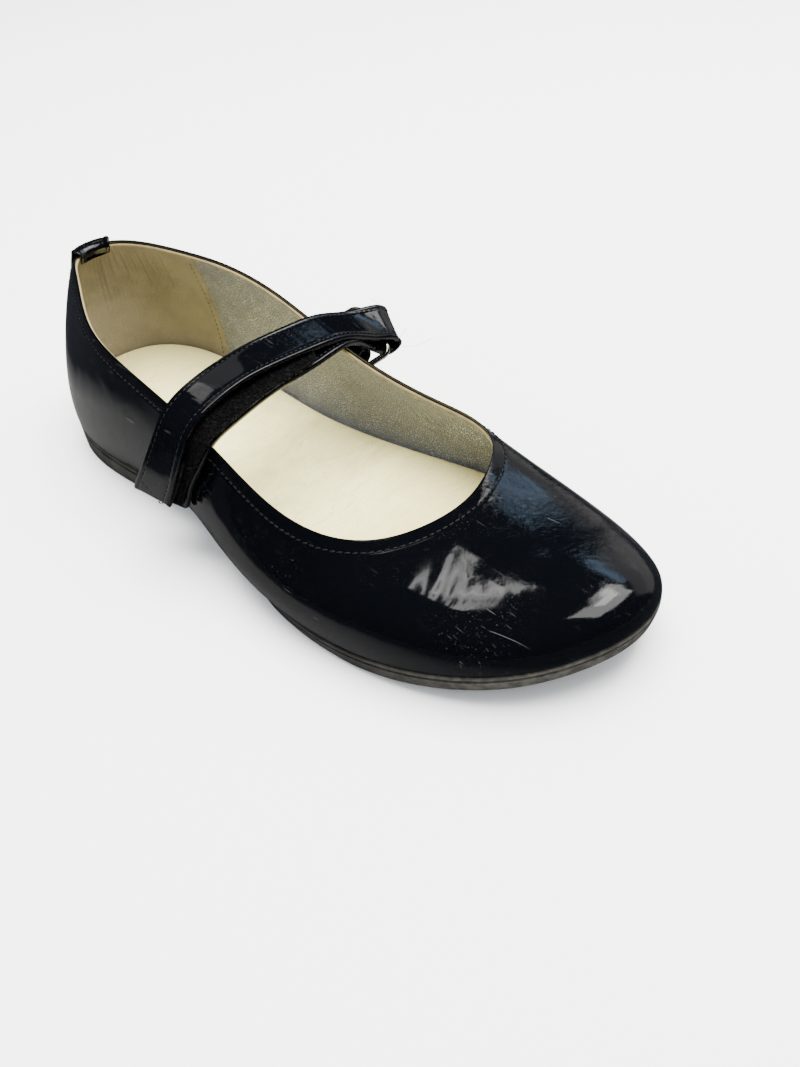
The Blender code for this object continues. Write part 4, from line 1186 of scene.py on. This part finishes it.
strap = sweep_strip("strap_patent", strap_route,
                    both_faces(strip_side(STRAP_WIDTH, STRAP_THICK, 0.14)),
                    ripple=strap_ripple, skew=STRAP_END_SKEW)
strap.data.materials.append(strip_patent)
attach(strap, "root")
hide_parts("strap")
STRAP_STITCHES = (1.75, (1.25, 0.42, 0.34), black_thread, "patent")
edge_row = STRAP_WIDTH / 2 - STITCH_INSET
free_end = strap_route.at("free end")
for name, side in (("strap_stitches_toe", -1), ("strap_stitches_heel", 1)):
    top_row = strap_route.line(side * edge_row, -STRAP_THICK / 2 + 0.10,
                               strap_route.at("fold above") - 1.0, free_end - 1.9)
    base_row = strap_route.line(side * edge_row, STRAP_THICK / 2 - 0.10, 1.8,
                                strap_route.at("fold below"))
    sew(name, *top_row, *STRAP_STITCHES)
    sew(name + "_base", *base_row, *STRAP_STITCHES)
middles, ups = strap_route.line(0.0, -STRAP_THICK / 2 + 0.05, free_end - 2.3, free_end - 1.6)
across = np.linspace(-edge_row, edge_row, 40)[:, None]
sew("strap_stitches_end", middles[0] + across * strap_route.across[-4], np.tile(ups[0], (40, 1)),
    *STRAP_STITCHES)

# ================================================================ hook and loop tape
# Black woven tape sewn to the two layers of the band that face each other: a brushed loop pile
# on the lower one and rows of small stiff hooks on the end of the upper one.
TAPE_WIDTH = 12.0
TAPE_THICK = 0.8
TAPE_GAP = 0.42
TAPE_BLACK = (0.0030, 0.0030, 0.0033, 1)
TAPE_LINT = (0.030, 0.029, 0.028, 1)
PILE_COUNT = 6000
HOOK_COUNT = 420
FIBRE_RADIUS = 0.055
tape_off = STRAP_THICK / 2 + TAPE_GAP + TAPE_THICK / 2
half, face = TAPE_WIDTH / 2, TAPE_THICK / 2
tape_section = both_faces([(half, 0.0), (half - 0.1, 0.7 * face), (half - 0.4, face),
                           (half * 0.6, face), (0.0, face)])
loop_route = Route(STRAP, STRAP_THICK, "sewn end", "medial arch", 0.6)
hook_route = Route(STRAP, STRAP_THICK, "top drop", "free end", 0.6)
tape_black, tree, shader, place = new_finish("black brushed tape")
marks = use_group(tree, handling, Place=place, Dust=1.0, Scratches=0.0)
knit = put(tree, "TexVoronoi", {"Vector": place, "Scale": 1300.0},
           feature="F1").outputs["Distance"]
lint = between(tree, noise(tree, place, 700, 3.0, 0.6), 0.52, 0.70, 0.0, 0.45)
share = most(tree, times(tree, knit, lint), marks["Dust"])
feed(shader, {"Base Color": blend_colours(tree, share, TAPE_BLACK, TAPE_LINT),
              "Roughness": between(tree, knit, 0.1, 0.6, 0.75, 0.95),
              "Normal": bump(tree, knit, 0.0004), "Specular IOR Level": 0.2})
for name, node, route, corner in (("loop_tape_backing", "loop_tape", loop_route, 4.5),
                                  ("hook_tape_backing", "hook_tape", hook_route, 1.2)):
    tape = sweep_strip(name, route, tape_section, lift=tape_off, corner=corner)
    tape.data.materials.append(tape_black)
    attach(tape, "root")
    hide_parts(node)


def thread(centres, firsts, seconds, radius, start):
    """A three-sided thread with closed ends: its places and faces. `firsts` and `seconds` point
    away from its middle line at right angles."""
    around = np.radians(start + np.array([0, 120, 240]))
    places = [centre + radius * (math.cos(a) * first + math.sin(a) * second)
              for centre, first, second in zip(centres, firsts, seconds) for a in around]
    last = len(places)
    faces = [[low + k, low + (k + 1) % 3, low + (k + 1) % 3 + 3, low + k + 3]
             for low in range(0, last - 3, 3) for k in range(3)]
    return np.array(places), faces + [[2, 1, 0], [last - 3, last - 2, last - 1]]


def thread_loop(radius, wire, turns):
    """A small open loop of thread standing in its own plane."""
    angles = np.linspace(-0.2, turns * math.pi + 0.2, 6)
    outs = np.column_stack([np.cos(angles), np.zeros(6), np.sin(angles)])
    return thread(outs * radius, outs, np.tile([0, 1, 0], (6, 1)), wire, 90)


def tufts(name, route, count, form, spread, size, seed, rounded):
    """Many copies of a small thread form over a tape's face, leaning every way. They keep
    inside the corners of a tape with rounded ends."""
    chance = np.random.default_rng(seed)
    spot = chance.uniform(0.6, route.gone[-1] - 0.6, count)
    across = chance.uniform(-spread, spread, count)
    if rounded:
        near = np.minimum(spot, route.gone[-1] - spot)
        room = spread - 1.1 * np.maximum(4.0 - near, 0) * (spread / half)
        across = np.clip(across, -room, room)
    centres, sides, ups, ways = (read_rows(spot, route.gone, part) for part in
                                 (route.centres, route.across, route.ups, route.ways))
    lift = tape_off + face + chance.uniform(-0.10, 0.06, count)
    points = centres + across[:, None] * sides + lift[:, None] * ups
    spin = chance.uniform(0, 2 * math.pi, count)
    lean = chance.normal(0, 0.35, (count, 2))
    lengthways = np.cos(spin)[:, None] * ways + np.sin(spin)[:, None] * sides
    upwards = ups + lean[:, :1] * ways + lean[:, 1:] * sides
    scale = size * chance.uniform(0.6, 1.4, (count, 1)) * np.ones((1, 3))
    piece = join_copies(name, *form, points, lengthways, upwards, scale)
    piece.data.materials.append(tape_black)
    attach(piece, "root")


tufts("loop_tape_pile", loop_route, PILE_COUNT, thread_loop(0.5, 0.11, 1.0), half + 0.65, 0.80,
      5, rounded=True)
tufts("hook_tape_hooks", hook_route, HOOK_COUNT, thread_loop(0.5, 0.16, 0.8), half - 0.6, 0.45,
      7, rounded=False)

# A few threads have worked loose where the band folds and where the tape ends.
FIBRES = [
    [(99.0, 46.6, 29.6), (103.5, 49.6, 28.6), (106.0, 53.6, 31.4)],
    [(90.2, 49.6, 37.4), (87.4, 50.2, 39.6), (86.0, 48.2, 41.2)],
    [(97.6, 45.4, 31.2), (100.2, 47.0, 33.4), (99.6, 49.2, 35.0)],
]
for along, height, reach, rise_by in ((101.6, 27.6, 4.2, -1.6), (101.0, 24.8, 3.2, 1.8),
                                      (99.4, 22.6, 3.6, -0.4), (103.0, 30.2, 2.6, 1.2)):
    corners = []
    for step, off in ((0.0, 0.2), (0.55, 0.9), (1.0, 0.3)):
        turn, rise = wall_spot(LATERAL, along + step * reach, height + step * rise_by, off)
        corners.append(upper_face(turn, rise, off)[0])
    FIBRES.append(corners)
places, faces = np.empty((0, 3)), []
t = np.linspace(0, 1, 13)[:, None]
for fibre in FIBRES:
    start, middle, end = np.array(fibre)
    way = 2 * (1 - t) * (middle - start) + 2 * t * (end - middle)
    way /= np.linalg.norm(way, axis=1)[:, None]
    side = np.cross(way, [0.3, 0.2, 0.9])
    side /= np.linalg.norm(side, axis=1)[:, None]
    more, sides = thread((1 - t)**2 * start + 2 * t * (1 - t) * middle + t**2 * end, side,
                         np.cross(way, side), FIBRE_RADIUS, 0)
    faces += [[len(places) + corner for corner in face] for face in sides]
    places = np.vstack([places, more])
fibres = join_copies("loose_fibres", places, faces, np.zeros((1, 3)), [[1.0, 0, 0]],
                     np.array([[0, 0, 1.0]]), (1.0, 1.0, 1.0))
fibres.data.materials.append(black_thread)
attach(fibres, "root")
